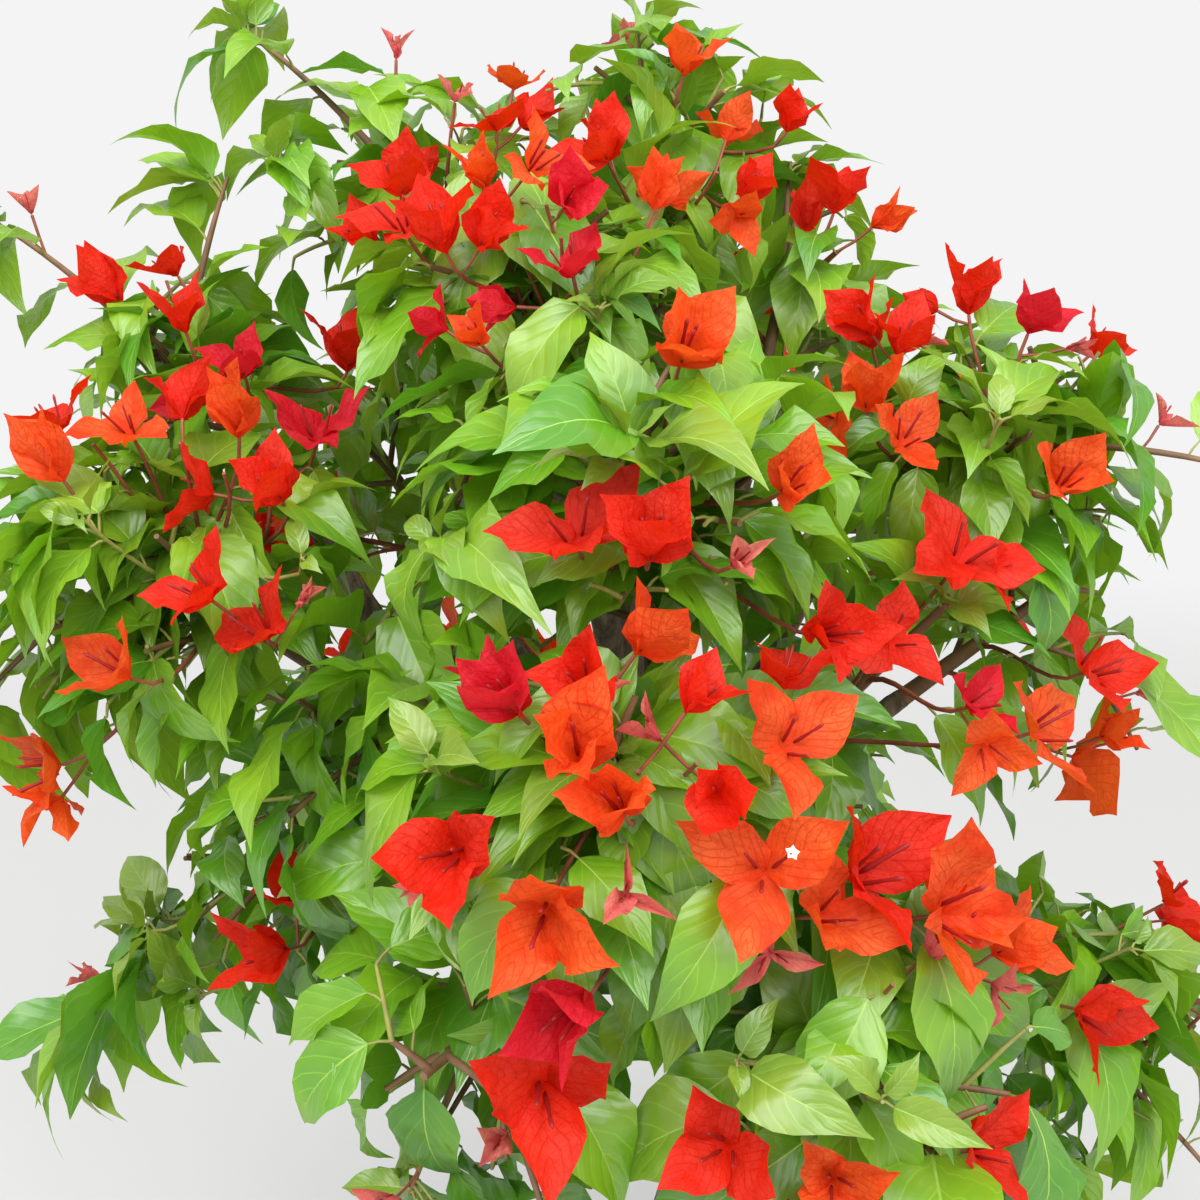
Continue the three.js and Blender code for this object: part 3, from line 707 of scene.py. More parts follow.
    def grow_side_twig(self, mass, stem, number):
        """A leafy twig from the side of the stem, with finer twigs from its nodes and perhaps flowers."""
        chance = mass.chance
        share = 0.1 + 0.9 * (number + 0.6) / mass.twigs
        start, along = stem.at(share), stem.heading(share)
        out = sideways(along, number * GOLDEN_ANGLE + chance.uniform(0, 0.7))
        heading = (along * math.cos(TWIG_ANGLE) + out * math.sin(TWIG_ANGLE) + UP * TWIG_LIFT).normalized()
        length = self.room(mass, start, heading, mass.spread * TWIG_REACH)
        if length < SHORTEST_SIDE_TWIG:
            return
        twig = bent_twig(start, heading, length, 0.1)
        flowering = chance.random() < mass.flowers
        self.twigs.append(Twig(mass.side, twig.points, *SIDE_TWIG, RED if flowering else WOODY))
        tint = self.spray_light_tint(twig.at(1), chance)
        nodes = max(2, round(length / (INTERNODE * size_at(start.z))))
        for node in range(1, nodes + 1):
            place = node / nodes * 0.98
            turn = node * GOLDEN_ANGLE + number
            self.side_buds.append(Bud(mass, twig, place, turn, tint))
            if node % 2 == 0 or node == nodes:
                self.grow_fine_twig(mass, twig, place, turn + math.pi, tint, flowering)
        if flowering:
            self.add_panicle(mass, twig, 1, FLOWER_TINTS, 3)

    def grow_fine_twig(self, mass, twig, share, turn, tint, flowering):
        chance = mass.chance
        start, along = twig.at(share), twig.heading(share)
        heading = (along + sideways(along, turn) * chance.uniform(0.6, 1.1) + UP * 0.25).normalized()
        length = self.room(mass, start, heading, chance.uniform(*FINE_LENGTHS))
        if length < SHORTEST_FINE_TWIG:
            return
        fine = bent_twig(start, heading, length, chance.uniform(0.02, 0.25))
        self.twigs.append(Twig(mass.side, fine.points, *FINE_TWIG, RED if flowering else GREEN))
        nodes = max(2, round(length / (INTERNODE * size_at(start.z))))
        for node in range(1, nodes + 1):
            size = 1 - 0.25 * node / nodes
            self.side_buds.append(Bud(mass, fine, node / nodes, node * GOLDEN_ANGLE + turn, tint, size))
        if flowering and chance.random() < FINE_FLOWERS:
            self.add_panicle(mass, fine, 1, FLOWER_TINTS, 3)

    def room(self, mass, start, heading, longest):
        """How far a twig can go and still leave room for what it carries."""
        reserve = RESERVE * size_at(start.z)
        length = 0
        while length < longest:
            roomy = length < TWIG_START or self.fits(mass, start + heading * (length + reserve))
            if not roomy or in_opening(start + heading * (length + TWIG_STEP)):
                break
            length += TWIG_STEP
        return length if length >= TWIG_SHORTEST else 0

    def spray_light_tint(self, place, chance):
        """Painted light: sprays on the outside and near the top get brighter tints, those within get painted
        shade.
        """
        outside = ((place - HEART).length - 120) / 180 + 0.4 * (place.z - HEART.z) / 300
        outside += chance.uniform(-0.35, 0.35)
        return LEAF_PAINTED_SHADE if outside < PAINTED_SHADE_BELOW else LEAF_MIDDLE if outside < MIDDLE_BELOW else LEAF_PAINTED_LIGHT

    def open_leaf(self, bud):
        """One leaf on its stalk, arched over so that its point hangs, where no other blade is in its way."""
        mass, chance, tint = bud.mass, bud.mass.chance, bud.tint
        root, heading = bud.twig.at(bud.share), bud.twig.heading(bud.share)
        outward = (root - HEART).normalized()
        # Some leaves take another tint of painted light and shade at random.
        if tint != LEAF_YOUNG and chance.random() < OWN_TINT:
            tint = chance.choice((LEAF_PAINTED_SHADE, LEAF_MIDDLE, LEAF_PAINTED_LIGHT))
        for attempt in range(LEAF_TRIES):
            out = sideways(heading, bud.turn + attempt * 1.1 + chance.uniform(-0.4, 0.4))
            stalk_way = (out * 0.9 + heading * 0.5 + UP * 0.2).normalized()
            full = self.leaf_length * bud.size * size_at(root.z)
            length = full * chance.uniform(*LEAF_SIZES) * (1 - 0.06 * attempt)
            base = root + stalk_way * length * LEAF_STALK_SHARE
            fall = self.droop * bud.hang * chance.uniform(0, 1.6)
            along = (stalk_way * 0.9 + outward * 0.25 - UP * fall).normalized()
            facing = UP * 0.8 + outward * 0.9 + Vector([chance.uniform(-0.6, 0.6) for _ in range(3)])
            bends = [chance.uniform(*bend) for bend in (LEAF_CURL, LEAF_FOLD, LEAF_TWIST)]
            leaf = Blade(mass.side, base, along, facing, length, tint, *bends)
            samples = leaf.samples(0.28)
            if not all(self.fits(mass, point, bud.on_shoot) for point in samples[1:4]):
                continue
            if any(map(in_opening, samples)):
                continue
            if self.bract_places.crowded(samples, LEAF_TO_BRACT):
                continue
            if self.open_air.crowded(samples, LEAF_TO_VIEW):
                continue
            if self.leaf_places.crowded(samples, LEAF_GAP * size_at(root.z)):
                continue
            self.leaf_places.mark(samples)
            self.leaves.append(leaf)
            arch = root.lerp(base, 0.5) + UP * 0.6
            self.stalks.append(Twig(mass.side, [root, arch, base], *LEAF_STALK, GREEN))
            return

    def add_panicle(self, mass, twig, share, tints, most):
        """A few flower heads on thin stalks from one point."""
        chance = mass.chance
        root, heading = twig.at(share), twig.heading(share)
        turn = chance.uniform(0, math.tau)
        outward = (root - HEART).normalized()
        length = self.bract_length * size_at(root.z)
        for number in range(chance.randint(1, most)):
            lean = sideways(heading, turn + number * math.tau / 3) * 0.8
            axis = (outward + heading * 0.3 + lean + UP * chance.uniform(0, 0.5)).normalized()
            end = root + axis * chance.uniform(8, 18)
            if self.fits(mass, end + axis * length * 0.5, True):
                self.add_head(mass, root, end, axis, length, chance.choice(tints))

    def add_head(self, mass, root, end, axis, full_length, tint):
        """Three bracts round up to three small tubular flowers, on a stalk from the twig."""
        chance = mass.chance
        for attempt in range(HEAD_TRIES):
            size = YOUNG_HEAD if tint == PINK else chance.uniform(*HEAD_SIZES)
            length = full_length * size * (1 - 0.03 * attempt)
            bracts = self.open_bracts(mass, end, axis, length, tint)
            samples = [point for bract in bracts for point in bract.samples(0.35)]
            if self.bract_places.crowded(samples, BRACT_GAP) or not all(map(self.in_reach, samples)):
                continue
            self.bract_places.mark(samples)
            self.open_air.mark([end + axis * length * share for share in (0.9, 1.3)])
            self.bracts += bracts
            if root != end:
                sag = root.lerp(end, 0.5) - UP * 0.8
                self.stalks.append(Twig(mass.side, [root, sag, end], *HEAD_STALK, RED))
            self.add_flowers(mass, bracts, axis)
            return

    def open_bracts(self, mass, end, axis, length, tint):
        """Three bracts round an axis, more or less open."""
        chance = mass.chance
        opening = math.radians(chance.uniform(*HEAD_OPENING))
        turn = chance.uniform(0, math.tau)
        bracts = []
        for number in range(3):
            out = sideways(axis, turn + number * math.tau / 3 + chance.uniform(-0.2, 0.2))
            angle = opening * chance.uniform(0.75, 1.25)
            along = axis * math.cos(angle) + out * math.sin(angle)
            size = length * chance.uniform(*BRACT_SIZES)
            folds = YOUNG_FOLD if tint == PINK else BRACT_FOLD
            bends = [chance.uniform(*bend) for bend in (BRACT_CURL, folds, BRACT_TWIST)]
            bracts.append(Blade(mass.side, end, along, axis - out * 0.6, size, tint, *bends))
        return bracts

    def add_flowers(self, mass, bracts, axis):
        """A slender tube from the lower part of each bract. Few of them are open."""
        for bract in bracts:
            if mass.chance.random() < NO_TUBE:
                continue
            way = (axis + bract.along * 0.5).normalized()
            root = bract.root + bract.along * bract.length * 0.1
            length = bract.length * mass.chance.uniform(*TUBE_LENGTHS)
            self.tubes.append(Blade(mass.side, root, way, bract.facing, length))
            if mass.chance.random() < OPEN_TUBE:
                self.stars.append(Blade(mass.side, root + way * length * 0.98, way, bract.facing, length))


# Meshes


def add_mesh(name, points, lines=(), faces=(), attributes=()):
    """A mesh in metres from points in millimetres. Attributes are name, type, domain and values."""
    mesh = bpy.data.meshes.new(name)
    mesh.from_pydata([tuple(p * MM for p in point) for point in points], lines, faces)
    for title, kind, domain, values in attributes:
        key = "vector" if kind == "FLOAT_VECTOR" else "value"
        flat = [number for value in values for number in value] if key == "vector" else list(values)
        mesh.attributes.new(title, kind, domain).data.foreach_set(key, flat)
    return mesh


def add_object(name, mesh):
    made = bpy.data.objects.new(name, mesh)
    bpy.context.scene.collection.objects.link(made)
    return made


def finish_piece(name, mesh, nodes=()):
    """Puts a finished mesh in the scene, riding on the plant's one body."""
    made = add_object(name, mesh)
    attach(made, "root")
    if nodes:
        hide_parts(*nodes)
    return made


def blade_shape(name, outline, rib_width):
    """One flat blade a unit long: a narrow rib down the middle and two strips on each side of it."""
    points, along, across, uvs, faces, ribs = [], [], [], [], [], []
    for u, half in outline:
        rib = min(rib_width * (1.1 - u) / 2, half * 0.5)
        for place in (-1, -0.55, -0.0, 0.0, 0.55, 1):
            side = math.copysign(1, place)
            x = side * (rib + (half - rib) * abs(place))
            points.append((x / MM, u / MM, 0))
            along.append(u)
            across.append(x)
            uvs.append((0.5 + place / 2, u))
    for row in range(len(outline) - 1):
        for column in range(5):
            a = row * 6 + column
            faces.append((a, a + 1, a + 7, a + 6))
            ribs.append(column == 2)
    mesh = add_mesh(name, points, faces=faces, attributes=[
        ("along", "FLOAT", "POINT", along),
        ("across", "FLOAT", "POINT", across),
        ("rib", "BOOLEAN", "FACE", ribs),
    ])
    layer = mesh.uv_layers.new(name="blade")
    for loop in mesh.loops:
        layer.data[loop.index].uv = uvs[loop.vertex_index]
    return mesh


def tube_shape(name, rings, sides, notch=1.0):
    """A turned shape a unit long from places and radii along it, every second side drawn in by a notch."""
    points, faces = [], []
    for place, radius in rings:
        for side in range(sides):
            angle = math.tau * side / sides
            drawn = radius * (notch if side % 2 else 1)
            points.append((drawn * math.cos(angle) / MM, place / MM, -drawn * math.sin(angle) / MM))
    for ring in range(len(rings) - 1):
        for side in range(sides):
            a, b = ring * sides + side, ring * sides + (side + 1) % sides
            faces.append((a, b, b + sides, a + sides))
    faces.append(tuple(reversed(range(sides))))
    faces.append(tuple(range((len(rings) - 1) * sides, len(rings) * sides)))
    return add_mesh(name, points, faces=faces, attributes=[
        ("along", "FLOAT", "POINT", [0.0] * len(points)),
        ("rib", "BOOLEAN", "FACE", [False] * len(faces)),
    ])


# Node trees


def add(tree, kind, inputs=(), **settings):
    """Adds one node. An input given as a socket is linked, and any other value is set on its own socket."""
    made = tree.nodes.new(kind)
    for name, value in settings.items():
        setattr(made, name, value)
    for key, value in dict(inputs).items():
        if isinstance(value, bpy.types.NodeSocket):
            tree.links.new(value, made.inputs[key])
        else:
            made.inputs[key].default_value = value
    return made


def new_tree(name, inputs):
    """A geometry tree with one geometry in, one out, and named inputs."""
    tree = bpy.data.node_groups.new(name, "GeometryNodeTree")
    tree.interface.new_socket("Geometry", in_out="INPUT", socket_type="NodeSocketGeometry")
    tree.interface.new_socket("Geometry", in_out="OUTPUT", socket_type="NodeSocketGeometry")
    for title, kind, default in inputs:
        socket = tree.interface.new_socket(title, in_out="INPUT", socket_type=kind)
        if default is not None:
            socket.default_value = default
    return tree, add(tree, "NodeGroupInput").outputs


def finish_tree(tree, geometry, materials, rib=None):
    """Smooths what was made, and deals out the materials by the tint of each spray."""
    dressed = add(tree, "GeometryNodeSetShadeSmooth", {"Geometry": geometry}).outputs[0]
    tint = add(tree, "GeometryNodeInputNamedAttribute", {"Name": "tint"}, data_type="INT").outputs[0]
    for number, material in enumerate(materials):
        same = add(tree, "FunctionNodeCompare", {2: tint, 3: number}, data_type="INT", operation="EQUAL")
        inputs = {"Geometry": dressed, "Selection": same.outputs[0], "Material": material}
        dressed = add(tree, "GeometryNodeSetMaterial", inputs).outputs[0]
    if rib:
        on_rib = add(tree, "GeometryNodeInputNamedAttribute", {"Name": "rib"}, data_type="BOOLEAN")
        inputs = {"Geometry": dressed, "Selection": on_rib.outputs[0], "Material": rib}
        dressed = add(tree, "GeometryNodeSetMaterial", inputs).outputs[0]
    add(tree, "NodeGroupOutput", {0: dressed})
    return tree


def blade_tree(name, materials, rib=None):
    """Stands one blade on each point, then bends every blade by its own curl, fold and twist."""
    tree, given = new_tree(name, [
        ("Blade", "NodeSocketObject", None),
        ("Curl", "NodeSocketFloat", 1.0),
        ("Fold", "NodeSocketFloat", 1.0),
        ("Twist", "NodeSocketFloat", 1.0),
        ("Ripple", "NodeSocketFloat", 0.0),
    ])
    known, kinds = {}, {"turn": "FLOAT_VECTOR"}
    for title in ("turn", "along", "across", "size", "curl", "fold", "twist"):
        kind = kinds.get(title, "FLOAT")
        stored = add(tree, "GeometryNodeInputNamedAttribute", {"Name": title}, data_type=kind)
        known[title] = stored.outputs[0]
    turn = add(tree, "FunctionNodeEulerToRotation", {"Euler": known["turn"]}).outputs[0]
    blade = add(tree, "GeometryNodeObjectInfo", {"Object": given["Blade"]}).outputs["Geometry"]
    stood = add(tree, "GeometryNodeInstanceOnPoints", {
        "Points": given["Geometry"], "Instance": blade, "Rotation": turn, "Scale": known["size"],
    }).outputs[0]
    realized = add(tree, "GeometryNodeRealizeInstances", {"Geometry": stood}).outputs[0]
    # Each row names a result, the operation and the values that it takes. Lengths are shares of the blade's.
    sums = [
        ("curled", "MULTIPLY", "curl", given["Curl"]),
        ("folded", "MULTIPLY", "fold", given["Fold"]),
        ("twisted", "MULTIPLY", "twist", given["Twist"]),
        ("along squared", "MULTIPLY", "along", "along"),
        ("curl so far", "MULTIPLY", "curled", "along squared"),
        ("sunk", "MULTIPLY", "curl so far", -0.5),
        ("aside", "ABSOLUTE", "across"),
        ("aside squared", "MULTIPLY", "aside", "aside"),
        ("levelled", "MULTIPLY", "aside squared", 1.5),
        ("slope", "SUBTRACT", "aside", "levelled"),
        ("raised", "MULTIPLY", "folded", "slope"),
        ("twist so far", "MULTIPLY", "twisted", "along"),
        ("turned", "MULTIPLY", "twist so far", "across"),
        ("waves along", "MULTIPLY", "along", 10.0),
        ("waves across", "MULTIPLY", "across", 7.0),
        ("waves", "ADD", "waves along", "waves across"),
        ("shift", "MULTIPLY", "twist", 20.0),
        ("phase", "ADD", "waves", "shift"),
        ("wave", "SINE", "phase"),
        ("ripple", "MULTIPLY", "wave", given["Ripple"]),
        ("rippled", "MULTIPLY", "ripple", "aside"),
        ("bent", "ADD", "sunk", "raised"),
        ("swayed", "ADD", "turned", "rippled"),
        ("out", "ADD", "bent", "swayed"),
        ("curl squared", "MULTIPLY", "curled", "curled"),
        ("shortened", "MULTIPLY", "curl squared", "along squared"),
        ("sixth", "MULTIPLY", "along", -1 / 6),
        ("drawn back", "MULTIPLY", "shortened", "sixth"),
        ("fold squared", "MULTIPLY", "folded", "folded"),
        ("narrowed", "MULTIPLY", "fold squared", "across"),
        ("drawn in", "MULTIPLY", "narrowed", -0.5),
    ]
    for title, operation, *values in sums:
        values = [known[value] if isinstance(value, str) else value for value in values]
        known[title] = add(tree, "ShaderNodeMath", enumerate(values), operation=operation).outputs[0]
    moved = add(tree, "ShaderNodeCombineXYZ", {
        "X": known["drawn in"], "Y": known["drawn back"], "Z": known["out"],
    }).outputs[0]
    inputs = {0: moved, "Scale": known["size"]}
    sized = add(tree, "ShaderNodeVectorMath", inputs, operation="SCALE").outputs[0]
    offset = add(tree, "FunctionNodeRotateVector", {"Vector": sized, "Rotation": turn}).outputs[0]
    bent = add(tree, "GeometryNodeSetPosition", {"Geometry": realized, "Offset": offset}).outputs[0]
    return finish_tree(tree, bent, materials, rib)


def twig_tree(name, materials):
    """Draws a round twig along each line of the mesh, as thick as its points say."""
    tree, given = new_tree(name, [("Sides", "NodeSocketInt", 6)])
    thickness = add(tree, "GeometryNodeInputNamedAttribute", {"Name": "thickness"}, data_type="FLOAT")
    curve = add(tree, "GeometryNodeMeshToCurve", {"Mesh": given["Geometry"]}).outputs[0]
    ring = add(tree, "GeometryNodeCurvePrimitiveCircle", {"Resolution": given["Sides"], "Radius": 1.0})
    drawn = add(tree, "GeometryNodeCurveToMesh", {
        "Curve": curve, "Profile Curve": ring.outputs[0], "Scale": thickness.outputs[0], "Fill Caps": True,
    }).outputs[0]
    realized = add(tree, "GeometryNodeRealizeInstances", {"Geometry": drawn}).outputs[0]
    return finish_tree(tree, realized, materials)


def settle(name, mesh, tree, values):
    """Runs a tree on a mesh and gives its result back as a plain mesh."""
    holder = add_object(name + "_holder", mesh)
    modifier = holder.modifiers.new(tree.name, "NODES")
    modifier.node_group = tree
    for item in tree.interface.items_tree:
        if item.name in values:
            modifier[item.identifier] = values[item.name]
    evaluated = holder.evaluated_get(bpy.context.evaluated_depsgraph_get())
    made = bpy.data.meshes.new_from_object(evaluated)
    made.name = name
    holder.modifiers.remove(modifier)
    bpy.data.objects.remove(holder)
    bpy.data.meshes.remove(mesh)
    return made


def blade_points(name, blades):
    """Points that carry the turn, size and bend of each blade."""
    turns = [tuple(Matrix(blade.axes()).transposed().to_euler()) for blade in blades]
    return add_mesh(name, [tuple(blade.root) for blade in blades], attributes=[
        ("turn", "FLOAT_VECTOR", "POINT", turns),
        ("size", "FLOAT", "POINT", [blade.length * MM for blade in blades]),
        ("curl", "FLOAT", "POINT", [blade.curl for blade in blades]),
        ("fold", "FLOAT", "POINT", [blade.fold for blade in blades]),
        ("twist", "FLOAT", "POINT", [blade.twist for blade in blades]),
        ("tint", "INT", "POINT", [blade.tint for blade in blades]),
    ])


def twig_lines(name, twigs):
    """Lines that carry the thickness and tint of each twig."""
    points, lines, thickness, tints = [], [], [], []
    for twig in twigs:
        first, last = len(points), len(twig.points) - 1
        points += [tuple(point) for point in twig.points]
        thickness += [(twig.thick + (twig.thin - twig.thick) * i / last) * MM for i in range(last + 1)]
        tints += [twig.tint] * (last + 1)
        lines += [(i, i + 1) for i in range(first, first + last)]
    return add_mesh(name, points, lines=lines, attributes=[
        ("thickness", "FLOAT", "POINT", thickness),
        ("tint", "INT", "POINT", tints),
    ])


# Materials


def new_material(name, roughness):
    material = bpy.data.materials.new(name)
    material.use_nodes = True
    tree = material.node_tree
    shader = tree.nodes["Principled BSDF"]
    shader.inputs["Roughness"].default_value = roughness
    return material, tree, shader


def tinted(colour, *factors):
    """An opaque colour with its channels multiplied."""
    return (*(min(1, channel * factor) for channel, factor in zip(colour, factors)), 1)


def dress(tree, shader, colour, relief):
    """Gives a shader its colour and the relief of its surface."""
    tree.links.new(colour, shader.inputs["Base Color"])
    tree.links.new(relief, shader.inputs["Normal"])


def mottled(tree, place, colour, size, detail, span, shades):
    """A colour that drifts between a darker and a paler shade in clouds of one size, and the clouds."""
    inputs = {"Vector": place, "Scale": 1 / size, "Detail": detail}
    clouds = add(tree, "ShaderNodeTexNoise", inputs).outputs[0]
    shade = add(tree, "ShaderNodeMapRange", enumerate((clouds, *span, *shades))).outputs[0]
    varied = add(tree, "ShaderNodeVectorMath", {0: colour, "Scale": shade}, operation="SCALE").outputs[0]
    return varied, clouds


def thin_material(name, colour, through, roughness, specular, share):
    """A thin surface that lets a share of the light through: leaf blades and papery bracts."""
    material, tree, shader = new_material(name, roughness)
    shader.inputs["Base Color"].default_value = (*colour, 1)
    shader.inputs["Specular IOR Level"].default_value = specular
    light = add(tree, "ShaderNodeBsdfTranslucent", {"Color": through}).outputs[0]
    mixed = add(tree, "ShaderNodeMixShader", {"Fac": share, 1: shader.outputs[0], 2: light}).outputs[0]
    tree.links.new(mixed, tree.nodes["Material Output"].inputs["Surface"])
    return material, tree, shader


def place_on_blade(tree):
    """The place across and along a blade, each from 0 to 1."""
    blade = add(tree, "ShaderNodeUVMap", uv_map="blade").outputs[0]
    return add(tree, "ShaderNodeSeparateXYZ", {0: blade}).outputs


def vein_lines(tree, count, slant, sharp):
    """Side veins that slant forward from the middle of a blade, as a value from 0 to 1."""
    place = place_on_blade(tree)
    middle = add(tree, "ShaderNodeMath", {0: place["X"], 1: 0.5}, operation="SUBTRACT").outputs[0]
    aside = add(tree, "ShaderNodeMath", {0: middle}, operation="ABSOLUTE").outputs[0]
    inputs = {0: aside, 1: -slant, 2: place["Y"]}
    forward = add(tree, "ShaderNodeMath", inputs, operation="MULTIPLY_ADD").outputs[0]
    wave = add(tree, "ShaderNodeMath", {0: forward, 1: count * math.tau}, operation="MULTIPLY").outputs[0]
    crest = add(tree, "ShaderNodeMath", {0: wave}, operation="SINE").outputs[0]
    return add(tree, "ShaderNodeMapRange", {0: crest, 1: sharp, 2: 1.0}).outputs[0]


def leaf_blade_material(name, colour):
    """Living leaf: waxy and softly glossy, pillowed between paler side veins, with light coming through."""
    through = tinted(colour, 1.4, 1.25, 0.7)
    material, tree, shader = thin_material(name, colour, through, roughness=0.34, specular=1.0, share=0.3)
    veins = vein_lines(tree, count=6, slant=0.7, sharp=0.95)
    valleys = vein_lines(tree, count=6, slant=0.7, sharp=-0.4)
    place = add(tree, "ShaderNodeTexCoord").outputs["Object"]
    inputs = {"Vector": place, "Scale": 1 / (30 * MM), "Detail": 3}
    mottle = add(tree, "ShaderNodeTexNoise", inputs).outputs[0]
    age = add(tree, "ShaderNodeMapRange", {0: mottle, 1: 0.34, 2: 0.66}).outputs[0]
    cooler, warmer = tinted(colour, 0.72, 0.88, 0.95), tinted(colour, 1.22, 1.1, 0.88)
    varied = add(tree, "ShaderNodeMix", {"Factor": age, 6: cooler, 7: warmer}, data_type="RGBA").outputs[2]
    paler = (*(min(1, channel * 1.3 + 0.01) for channel in colour), 1)
    veined = add(tree, "ShaderNodeMix", {"Factor": veins, 6: varied, 7: paler}, data_type="RGBA").outputs[2]
    uneven = add(tree, "ShaderNodeBump", {"Height": mottle, "Strength": 0.5, "Distance": 4 * MM}).outputs[0]
    inputs = {"Height": valleys, "Strength": 0.22, "Distance": 0.6 * MM, "Normal": uneven}
    pillowed = add(tree, "ShaderNodeBump", inputs, invert=True).outputs[0]
    dress(tree, shader, veined, pillowed)
    return material


def bract_material(name, colour):
    """Papery bract: thin, dry and matt, with painted shade at its base, darker veins, and a glow against the
    light.
    """
    through = tinted(colour, 1.15, 1.3, 1.1)
    material, tree, shader = thin_material(name, colour, through, roughness=0.6, specular=0.25, share=0.42)
    veins = vein_lines(tree, count=7, slant=0.9, sharp=0.8)
    place = add(tree, "ShaderNodeTexCoord").outputs["Object"]
    # The net of fine veins is drawn 4 mm wide, coarser than life, so that it shows.
    inputs = {"Vector": place, "Scale": 1 / (4 * MM)}
    net = add(tree, "ShaderNodeTexVoronoi", inputs, feature="DISTANCE_TO_EDGE").outputs["Distance"]
    threads = add(tree, "ShaderNodeMapRange", {0: net, 1: 0.0, 2: 0.09, 3: 0.55, 4: 0.0}).outputs[0]
    lines = add(tree, "ShaderNodeMath", {0: veins, 1: threads}, operation="MAXIMUM").outputs[0]
    inputs = {"Vector": place, "Scale": 1 / (15 * MM), "Detail": 2}
    clouds = add(tree, "ShaderNodeTexNoise", inputs).outputs[0]
    cloudy = add(tree, "ShaderNodeMapRange", {0: clouds, 1: 0.42, 2: 0.66}).outputs[0]
    # Painted shade: darker towards the base of the bract, where the three close into their cup; the clouds
    # are real uneven tone.
    inputs = {0: place_on_blade(tree)["Y"], 1: 0.05, 2: 0.6, 3: 1.0, 4: 0.0}
    base = add(tree, "ShaderNodeMapRange", inputs).outputs[0]
    flush_and_painted_shade = add(tree, "ShaderNodeMath", {0: cloudy, 1: base}, operation="MAXIMUM").outputs[0]
    # The paler colour is painted light on the outer part and real uneven tone where the clouds are thin; the
    # darker one is painted shade at the base and a real flush in the clouds.
    pale_and_lit_colour = (colour[0], colour[1] * 1.5 + 0.01, colour[2] + 0.02, 1)
    flush_and_shade_colour, darker = tinted(colour, 0.92, 0.55, 0.7), tinted(colour, 0.8, 0.5, 0.55)
    ground = add(tree, "ShaderNodeMix", {"Factor": flush_and_painted_shade, 6: pale_and_lit_colour, 7: flush_and_shade_colour}, data_type="RGBA").outputs[2]
    drawn = add(tree, "ShaderNodeMix", {"Factor": lines, 6: ground, 7: darker}, data_type="RGBA").outputs[2]
    inputs = {"Vector": place, "Scale": 1 / (6 * MM), "Detail": 3}
    crinkle = add(tree, "ShaderNodeTexNoise", inputs).outputs[0]
    inputs = {"Height": crinkle, "Strength": 0.8, "Distance": 2.2 * MM}
    creased = add(tree, "ShaderNodeBump", inputs).outputs[0]
    inputs = {"Height": lines, "Strength": 0.3, "Distance": 0.4 * MM, "Normal": creased}
    dress(tree, shader, drawn, add(tree, "ShaderNodeBump", inputs).outputs[0])
    return material


def soft_material(name, colour, roughness):
    """A soft plant part of one colour, matt and slightly marbled: midribs, tubes and open flowers."""
    material, tree, shader = new_material(name, roughness)
    place = add(tree, "ShaderNodeTexCoord").outputs["Object"]
    marbled, _ = mottled(tree, place, colour, 5 * MM, 1, (0, 1), (0.82, 1.18))
    tree.links.new(marbled, shader.inputs["Base Color"])
    return material


def bark_material(name, colour, fissure):
    """Old bougainvillea bark: dry and matt, grey-brown ridges over dark cracks, with paler flakes."""
    material, tree, shader = new_material(name, 0.9)
    place = add(tree, "ShaderNodeTexCoord").outputs["Object"]
    drawn_out = add(tree, "ShaderNodeMapping", {"Vector": place, "Scale": (1, 1, 0.22)}).outputs[0]
    inputs = {"Vector": drawn_out, "Scale": 1 / (7 * MM), "Detail": 6, "Roughness": 0.7}
    cracks = add(tree, "ShaderNodeTexNoise", inputs).outputs[0]
    depth = add(tree, "ShaderNodeMapRange", {0: cracks, 1: 0.38, 2: 0.6}).outputs[0]
    ridge, _ = mottled(tree, place, colour, 30 * MM, 3, (0.4, 0.7), (0.8, 1.25))
    inputs = {"Factor": depth, 6: (*fissure, 1), 7: ridge}
    mixed = add(tree, "ShaderNodeMix", inputs, data_type="RGBA").outputs[2]
    bump = add(tree, "ShaderNodeBump", {"Height": depth, "Strength": 0.7, "Distance": 1.2 * MM}).outputs[0]
    dress(tree, shader, mixed, bump)
    return material


def twig_material(name, colour):
    """Young twig: smooth and matt, its colour a little uneven, with a faint grain."""
    material, tree, shader = new_material(name, 0.6)
    place = add(tree, "ShaderNodeTexCoord").outputs["Object"]
    varied, clouds = mottled(tree, place, colour, 9 * MM, 3, (0.3, 0.7), (0.7, 1.3))
    bump = add(tree, "ShaderNodeBump", {"Height": clouds, "Strength": 0.3, "Distance": 0.3 * MM}).outputs[0]
    dress(tree, shader, varied, bump)
    return material


